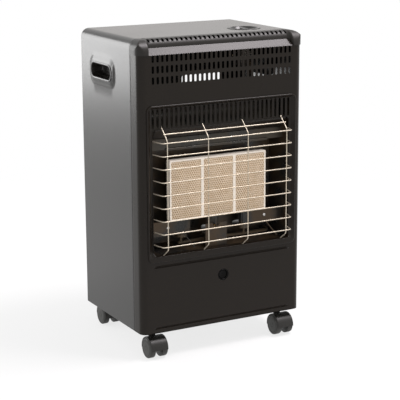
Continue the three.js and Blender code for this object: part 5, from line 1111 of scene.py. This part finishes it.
def top_deflector():
    """A sheet that rises behind a round lip and curls forward: a line and an arc of 40 mm."""
    middle = np.array([FRONT + 8.0, 535.5])
    arc = np.radians(np.linspace(-52, 62, 40))
    curl = np.stack([middle[0] + 40 * np.cos(arc), middle[1] + 40 * np.sin(arc)], -1)
    path = np.vstack([[FRONT + 28.0, 480.0], curl])
    way = np.gradient(path, axis=0)
    out = np.stack([way[:, 1], -way[:, 0]], -1)
    out /= np.hypot(*out.T)[:, None]
    length = np.concatenate([[0], np.cumsum(np.hypot(*np.diff(path, axis=0).T))])

    def shape(u, v, depth):
        y = np.interp(v, length, path[:, 0]) + depth * np.interp(v, length, out[:, 0])
        z = np.interp(v, length, path[:, 1]) + depth * np.interp(v, length, out[:, 1])
        return np.stack([u, y, z], -1)

    rows = np.concatenate([np.linspace(0, length[1], 4)[:-1], length[1:]])
    flat, quads = lattice(np.linspace(-176.5, 176.5, 9), rows, [])
    skin = pressed_sheet(flat, quads, shape, SHEET)
    bar = [(-134, 1.2), (-133.5, 2.4), (-132, 3.3), (-130, 3.5), (130, 3.5), (132, 3.3), (133.5, 2.4), (134, 1.2)]
    path = np.array([(x, FRONT + 28.0, 480.0) for x, _ in bar])
    skin.tube(along(path, 3.5, 20, [r for _, r in bar]))
    return skin.make("deflector_sheet", DEFLECTOR, stands_for="top_deflector", slot="blued_steel")


plaque_frame()
plaques()
top_deflector()


# ------------------------------------------------------------------ knob, dial and button

DIAL_FLOOR = HEIGHT - 17.0
KNOB_FOOT = DIAL_FLOOR + 5.4
AT_KNOB = (KNOB_X, KNOB_Y, 0.0)


def knob_dial():
    lip = HEIGHT + 1.1
    profile = [(8.4, DIAL_FLOOR), (22.2, DIAL_FLOOR), (22.8, DIAL_FLOOR + 0.25), (23.0, DIAL_FLOOR + 0.9),
               (23.0, DIAL_FLOOR + 8.4), (23.4, DIAL_FLOOR + 9.2), (31.3, lip - 0.9), (32.0, lip - 0.3), (32.9, lip),
               (38.2, lip), (38.9, lip - 0.15), (39.3, lip - 0.45), (39.5, HEIGHT + 0.3), (31.5, HEIGHT + 0.3),
               (31.5, HEIGHT - 1.2), (24.5, DIAL_FLOOR + 8), (24.5, DIAL_FLOOR - 1.5), (8.4, DIAL_FLOOR - 1.5)]
    skin = Skin().grid(lathe(profile, 96, "z", AT_KNOB), around=True, along=True)
    skin.make("knob_dial_bowl", KNOB_PLASTIC, stands_for="knob_dial", slot="satin_black")
    marks = Skin()
    for degrees, size in ((115, 1.5), (65, 1.1), (20, 1.3), (-25, 1.7)):
        turn = math.radians(degrees)
        middle = np.array([KNOB_X + 35.8 * math.cos(turn), KNOB_Y + 35.8 * math.sin(turn)])
        dot = [(0.0, lip + 0.02), (size * 0.8, lip + 0.02), (size, lip - 0.05), (size, lip - 0.2), (0.0, lip - 0.2)]
        marks.grid(lathe(dot, 20, "z", (*middle, 0.0)), around=True)
    marks.make("knob_dial_marks", MARK_PAINT, slot="aluminised_steel")


def knob():
    """A disc with a rounded edge and a grip bar whose flanks are dished for the fingers."""
    foot = KNOB_FOOT
    disc = [(4.3, foot + 3), (4.3, foot), (18.3, foot), (18.8, foot + 0.2), (19.0, foot + 0.7), (19.0, foot + 2.0),
            (18.7, foot + 3.2), (17.8, foot + 4.2), (16.4, foot + 4.8), (14.5, foot + 5.0), (0.0, foot + 5.0)]
    skin = Skin().grid(lathe([(0.0, foot + 3), *disc], 64, "z", AT_KNOB), around=True)
    heights = np.array([foot + 4.4, foot + 5.2, foot + 7.0, HEIGHT - 3.2, HEIGHT - 1.2, HEIGHT, HEIGHT + 0.6, HEIGHT + 0.8])
    halves = np.array([4.0, 3.7, 3.3, 3.2, 3.3, 3.0, 2.4, 1.4])
    reach = np.array([18.2, 17.9, 17.6, 16.6, 16.1, 15.6, 15.0, 14.0])
    rings = []
    for z, half, long in zip(heights, halves, reach):
        outline = rounded(-half, -long, half, long, min(half, 3.2) - 0.01, 15)
        pinch = 1 - 0.22 * np.cos(outline[:, 1:2] / long * math.pi / 2) ** 2
        outline = outline * np.hstack([pinch, np.ones_like(pinch)])
        rings.append(at_z(outline + [KNOB_X, KNOB_Y], z))
    skin.tube(rings)
    skin.make("knob_moulding", KNOB_PLASTIC, body="knob", stands_for="knob", slot="dark_plastic")
    top = HEIGHT + 0.8
    pointer = rounded(KNOB_X - 0.55, KNOB_Y - 13.5, KNOB_X + 0.55, KNOB_Y - 6.0, 0.5, 15)
    slab(Skin(), pointer, at_z, top - 0.35, top, 0.08).make(
        "knob_pointer", MARK_PAINT, body="knob", slot="aluminised_steel")


def button():
    """Ring and button, both turned about the Y axis: the ring funnels to a dished button."""
    centre = (0.0, 0.0, BUTTON_Z)
    face = FRONT - 0.3
    ring = [(10.4, face + 2.2), (11.0, face + 1.2), (11.9, face + 0.4), (12.6, face), (13.2, face + 0.1),
            (13.6, face + 0.5), (13.7, face + 1.1), (13.7, face + 12), (10.4, face + 12)]
    skin = Skin().grid(lathe(ring, 72, "y", centre), around=True, along=True)
    skin.make("button_ring", BUTTON_PLASTIC, stands_for="button_bezel", slot="dark_plastic")
    face = FRONT + 2.5
    cap = [(0.0, face + 1.2), (3.5, face + 1.05), (6.5, face + 0.7), (8.2, face + 0.25), (8.9, face + 0.03),
           (9.4, face + 0.08), (9.8, face + 0.4), (10.0, face + 1.0), (10.0, face + 20), (0.0, face + 20)]
    skin = Skin().grid(lathe(cap, 72, "y", centre), around=True)
    skin.make("ignition_button_cap", BUTTON_PLASTIC, body="button", stands_for="ignition_button", slot="dark_plastic")


knob_dial()
knob()
button()


# ------------------------------------------------------------------ casters

WHEEL = 23.5
TRAIL = 16.0
CASTERS = {
    "front_left": (-169.0, -116.0, 180.0),
    "front_right": (169.0, -116.0, 180.0),
    "rear_left": (-158.0, 127.0, 0.0),
    "rear_right": (158.0, 127.0, 0.0),
}


def stand_at(skin, x, y, turn):
    """Turns the points about the stem and carries them to the caster's place."""
    c, s = math.cos(math.radians(turn)), math.sin(math.radians(turn))
    skin.points = [np.stack([x + p[:, 0] * c - p[:, 1] * s, y + p[:, 0] * s + p[:, 1] * c, p[:, 2]], -1)
                   for p in skin.points]
    return skin


def wheel(side):
    """Tread with rounded shoulders, a stepped outer face and a shallow hub with a groove."""
    h = 7.0
    rim = WHEEL - 0.02
    outer = [(0.0, h + 0.6), (5.0, h + 0.55), (5.4, h + 0.1), (6.0, h + 0.1), (6.4, h + 0.5), (12.0, h + 0.4),
             (17.6, h + 0.15), (18.0, h - 0.5), (18.9, h - 0.5), (19.3, h + 0.05), (rim - 2.2, h), (rim - 1.1, h - 0.3),
             (rim - 0.3, h - 1.1), (rim, h - 2.2)]
    inner = [(rim, -h + 1.2), (rim - 0.4, -h + 0.4), (rim - 1.2, -h), (3.3, -h), (3.3, h - 3), (0.0, h - 3)]
    profile = np.array(outer + inner)
    profile[:, 1] = side * (15.5 + profile[:, 1])
    return Skin().grid(lathe(profile, 72, "x", (0.0, TRAIL, WHEEL)), around=True)


def hood():
    """A shell over both wheels from -3 to 190 degrees with rounded flanks, and the web."""
    radius = WHEEL + 3.6
    half = 21.5

    def shape(u, v, depth):
        angle = np.radians(u)
        slip = np.clip((np.abs(v) - (half - 2.2)) / 2.2, 0, 1)
        r = radius - 1.5 * (1 - np.sqrt(1 - slip ** 2 * 0.98)) - depth * (1 - 0.2 * slip)
        return np.stack([v, TRAIL + r * np.cos(angle), WHEEL + r * np.sin(angle)], -1)

    edge = half - 2.2 * (1 - np.sin(np.linspace(0, math.pi / 2, 6)))
    vs = np.concatenate([-edge[::-1], np.linspace(-edge[0], edge[0], 8)[1:-1], edge])
    flat, quads = lattice(np.linspace(-3, 190, 44), vs, [])
    skin = pressed_sheet(flat, quads, shape, 2.0)
    arc = np.radians(np.linspace(20, 190, 26))
    hub = np.radians(np.linspace(225, 325, 12))
    web = np.vstack([
        np.stack([TRAIL + 26.0 * np.cos(arc), WHEEL + 26.0 * np.sin(arc)], -1),
        np.stack([TRAIL + 8.0 * np.cos(hub), WHEEL + 8.0 * np.sin(hub)], -1),
    ])
    slab(skin, web, at_x, -7.6, 7.6, 0.4)
    top = 63.3 - 0.3 - 5 - 0.4
    boss = [(0.0, WHEEL), (7.8, WHEEL), (8.2, WHEEL + 0.4), (8.2, top - 0.8), (7.5, top), (4.75, top),
            (4.75, 30.2), (0.0, 30.2)]
    skin.grid(lathe(boss, 40, "z", (0.0, 0.0, 0.0)), around=True)
    return skin


def casters():
    for name, place in CASTERS.items():
        front = place[2] == 180.0
        stand_at(hood(), *place).make(
            f"caster_{name}_fork", HOOD_PLASTIC, body=f"swivel_{name}",
            stands_for=f"caster_{name}_hood", slot="dark_plastic")
        stem = Skin()
        top = 63.0
        profile = [(0.0, 30.5), (3.7, 30.5), (4.5, 31.3), (4.5, top - 5), (7.4, top - 5), (8.0, top - 4.4),
                   (8.0, top - 0.5), (7.5, top), (0.0, top)]
        stem.grid(lathe(profile, 40, "z", (0.0, 0.0, 0.0)), around=True)
        stand_at(stem, *place).make(
            f"caster_{name}_pin", STEEL, body=f"swivel_{name}", stands_for=f"caster_{name}_stem", slot="zinc_steel")
        for label, side in (("left", 1 if front else -1), ("right", -1 if front else 1)):
            stand_at(wheel(side), *place).make(
                f"caster_{name}_{label}_tyre", WHEEL_PLASTIC, body=f"wheel_{name}_{label}",
                stands_for=f"caster_{name}_wheel_{label}", slot="wheel_grey")


casters()


# ------------------------------------------------------------------ rear cover

COVER_Y = BACK + SEAT + 1.0 + 0.7
COVER_FOOT = 64.5 + SEAT + 3.0 + SEAT
COVER_TOP = HEIGHT - 182.0
COVER_PLAN = Run([(205.0, COVER_Y, 0), (186.0, COVER_Y, 1.5), (132.0, COVER_BACK, 18.0), (-132.0, COVER_BACK, 18.0),
                  (-186.0, COVER_Y, 1.5), (-205.0, COVER_Y, 0), (0.0, -300.0, 0)], 5.0)


def rear_cover():
    """A bay pressed from one sheet: its plan is a run of straights and bends, and the sheet
    turns inwards at the top and the foot by a 9 mm lip."""
    path = COVER_PLAN
    ends = int(np.argmin(np.hypot(*(path.path - [-205.0, COVER_Y]).T)))
    middle = path.at[ends] / 2

    def shape(u, v, depth):
        lip = np.clip(v - COVER_TOP, 0, None) + np.clip(COVER_FOOT - v, 0, None)
        edge = np.clip(1 - np.abs(u) / (middle - 20), 0, 0.02) / 0.02
        on_lip = np.clip(lip / 0.8, 0, 1)
        x, y = path.point(middle - u, (lip * edge + depth * (1 - on_lip)))
        up = np.where(v > (COVER_TOP + COVER_FOOT) / 2, -1.0, 1.0)
        z = np.clip(v, COVER_FOOT, COVER_TOP) + up * depth * on_lip
        return np.stack([x, y, z], -1)

    stations = middle - path.at[:ends + 1]
    us = [stations]
    for k in range(-2, 3):
        us.append(42.0 * k + np.array([-21.0, -16.0, -8.0, 0.0, 8.0, 16.0, 21.0]))
    us.append(np.linspace(-105, 105, 11))
    us = np.unique(np.round(np.concatenate(us), 3))
    us = us[np.concatenate([[True], np.diff(us) > 0.35])]
    rows = (COVER_FOOT + 48.2 - 0.3, COVER_TOP - 60.0)
    vs = lines((COVER_FOOT - 9, COVER_FOOT, 2), (COVER_FOOT, COVER_FOOT + 1.2, 3), (COVER_FOOT + 1.2, rows[0] - 5, 4),
               (rows[0] - 5, rows[0] + 5, 5), (rows[0] + 5, rows[1] - 5, 12), (rows[1] - 5, rows[1] + 5, 5),
               (rows[1] + 5, COVER_TOP - 1.2, 4), (COVER_TOP - 1.2, COVER_TOP, 3), (COVER_TOP, COVER_TOP + 9, 2),
               COVER_TOP + 9)
    holes = []
    for z in rows:
        for k in range(-2, 3):
            x = 42.0 * k
            holes.append((x - 16, z - 2.5, x + 16, z + 2.5, 2.45, x - 21, z - 5, x + 21, z + 5))
    flat, quads = lattice(us, vs, holes)
    skin = pressed_sheet(flat, quads, shape)
    return skin.make("rear_cover_bay", ENAMEL, body="rear_cover", stands_for="rear_cover", slot="satin_black")


rear_cover()


# ------------------------------------------------------------------ fixings


def fixings():
    """Screw heads: bezel corner, burner brackets, rear top panel, cover guides."""
    dark = Skin()
    screw(dark, (173.0 + 9.5, BEZEL_Y, 237.5), "-y", 2.4, 1.2)
    screw(dark, (-182.5, BEZEL_Y, 237.5), "-y", 2.4, 1.2)
    dark.make("bezel_screws", DARK_STEEL, slot="blued_steel")
    bright = Skin()
    for x in (-127.6, 127.6):
        screw(bright, (x, FRONT + 30.0, 298.0), "-y", 3.6, 1.8)
    bright.make("bracket_screws", STEEL, slot="zinc_steel")
    rear = Skin()
    for x in (-198.0, 198.0):
        for z in (604.0, 680.0):
            screw(rear, (x, BACK, z), "y", 3.6, 0.7)
    for x in (-150.0, 0.0, 150.0):
        screw(rear, (x, BACK, HEIGHT - 8.0), "y", 3.6, 1.8)
    rear.make("rear_screws", STEEL, slot="zinc_steel")


fixings()


# ------------------------------------------------------------------ finishes of the other nodes

BY_NODE = {
    "base_plate": ZINC, "bulkhead": ZINC, "valve_bracket": ZINC, "burner_chamber": DARK_STEEL,
    "burner_bracket_left": DARK_STEEL, "burner_bracket_right": DARK_STEEL, "pilot_bracket": DARK_STEEL,
    "rear_top_panel": ENAMEL, "cover_guide_left": ENAMEL, "cover_guide_right": ENAMEL,
    "burner_left": DULL_STEEL, "burner_middle": DULL_STEEL, "burner_right": DULL_STEEL,
    "pilot_burner": BRASS, "pilot_electrode": GLAZE, "thermocouple": STEEL, "pilot_pipe": STEEL,
    "gas_valve": VALVE_METAL, "gas_manifold": DULL_STEEL, "inlet_nozzle": BRASS, "thrust_collar": BRASS,
    "knob_spindle": BRASS, "piezo_unit": TRIM_PLASTIC,
}
for caster in CASTERS:
    BY_NODE[f"caster_{caster}_axle"] = STEEL
for node, finish in BY_NODE.items():
    mesh_data = nodes[node].data
    if not mesh_data.materials:
        mesh_data.materials.append(finish)
    for place in range(len(mesh_data.materials)):
        mesh_data.materials[place] = finish


# ------------------------------------------------------------------ stage, lights and camera


def look():
    """The photograph's view: the camera stands back from a point beside the cabinet's axis."""
    turn, tilt, roll = math.radians(-28.593), math.radians(13.44), math.radians(-0.288)
    back = Vector((math.sin(turn) * math.cos(tilt), -math.cos(turn) * math.cos(tilt), math.sin(tilt)))
    right = Vector((math.cos(turn), math.sin(turn), 0.0))
    up = back.cross(right)
    data = bpy.data.cameras.new("studio_camera")
    data.sensor_width = 36.0
    data.lens = 1332.69 / 400 * 36.0
    camera = bpy.data.objects.new("studio_camera", data)
    bpy.context.scene.collection.objects.link(camera)
    place = Vector((0.0, SHIFT_Y, 322.55)) + right * 19.86 + back * 3185.31
    across = right * math.cos(roll) + up * math.sin(roll)
    above = up * math.cos(roll) - right * math.sin(roll)
    turned = Matrix((across, above, back)).transposed()
    camera.matrix_world = Matrix.Translation(place * MM) @ turned.to_4x4()
    bpy.context.scene.camera = camera


def lamp(name, size, place, target, power, color=(1.0, 1.0, 1.0)):
    data = bpy.data.lights.new(name, "AREA")
    data.shape = "RECTANGLE"
    data.size, data.size_y = size
    data.energy = power
    data.color = color
    light = bpy.data.objects.new(name, data)
    light.location = place
    light.rotation_mode = "QUATERNION"
    light.rotation_quaternion = (Vector(place) - Vector(target)).to_track_quat("Z", "Y")
    light.visible_camera = False
    bpy.context.scene.collection.objects.link(light)


def seen_rays(tree):
    """1 for the rays that look at the stage: those of the camera, of gloss and of glass."""
    path = tree.nodes.new("ShaderNodeLightPath")
    total = path.outputs["Is Camera Ray"]
    for ray in ("Is Glossy Ray", "Is Transmission Ray"):
        either = tree.nodes.new("ShaderNodeMath")
        either.operation = "MAXIMUM"
        tree.links.new(total, either.inputs[0])
        tree.links.new(path.outputs[ray], either.inputs[1])
        total = either.outputs[0]
    return total


def blended(tree, factor, low, high):
    node = tree.nodes.new("ShaderNodeMapRange")
    tree.links.new(factor, node.inputs[0])
    node.inputs[3].default_value = low
    node.inputs[4].default_value = high
    return node.outputs[0]


def board(name, corners, material):
    mesh = bpy.data.meshes.new(name)
    mesh.from_pydata(corners, [], [tuple(range(len(corners)))])
    mesh.materials.append(material)
    prop = bpy.data.objects.new(name, mesh)
    bpy.context.scene.collection.objects.link(prop)
    return prop


def pale_floor():
    """White floor: what is seen of it is mostly plain white, and near the heater partly lit."""
    floor = Finish("pale_floor", (0.90, 0.90, 0.90), 0.9, 0.0, Specular_IOR_Level=0.0)
    tree = floor.tree
    glow = tree.nodes.new("ShaderNodeEmission")
    glow.inputs[0].default_value = (1.0, 1.0, 1.0, 1.0)
    mix = tree.nodes.new("ShaderNodeMixShader")
    x, y, _ = floor.axes()
    far = (x * x + y * y) ** 0.5
    white = Value(floor, seen_rays(tree)) * far.ramp(0.7, 1.9, 0.75, 1.0)
    tree.links.new(white.socket, mix.inputs[0])
    tree.links.new(floor.shader.outputs[0], mix.inputs[1])
    tree.links.new(glow.outputs[0], mix.inputs[2])
    tree.links.new(mix.outputs[0], tree.nodes["Material Output"].inputs[0])
    return floor.material


def studio():
    board("studio_floor", [(-12, -12, 0), (12, -12, 0), (12, 12, 0), (-12, 12, 0)], pale_floor())
    world = bpy.data.worlds.new("studio_world")
    bpy.context.scene.world = world
    world.use_nodes = True
    background = world.node_tree.nodes["Background"]
    background.inputs[0].default_value = (1.0, 1.0, 1.0, 1.0)
    strength = blended(world.node_tree, seen_rays(world.node_tree), 0.65, 1.0)
    world.node_tree.links.new(strength, background.inputs[1])
    lamp("soft_box_left", (2.0, 1.7), (-2.0, 2.6, 0.95), (-0.2, 0.0, 0.5), 55.0)
    lamp("soft_box_top", (1.5, 1.1), (1.25, -0.8, 3.0), (0.0, -0.17, 0.7), 92.0, (1.0, 0.94, 0.97))
    lamp("soft_box_back", (2.6, 1.4), (2.0, 3.4, 1.5), (0.0, 0.0, 0.7), 0.7, (1.0, 0.50, 0.20))
    bpy.context.scene.view_settings.view_transform = "Standard"


look()
studio()
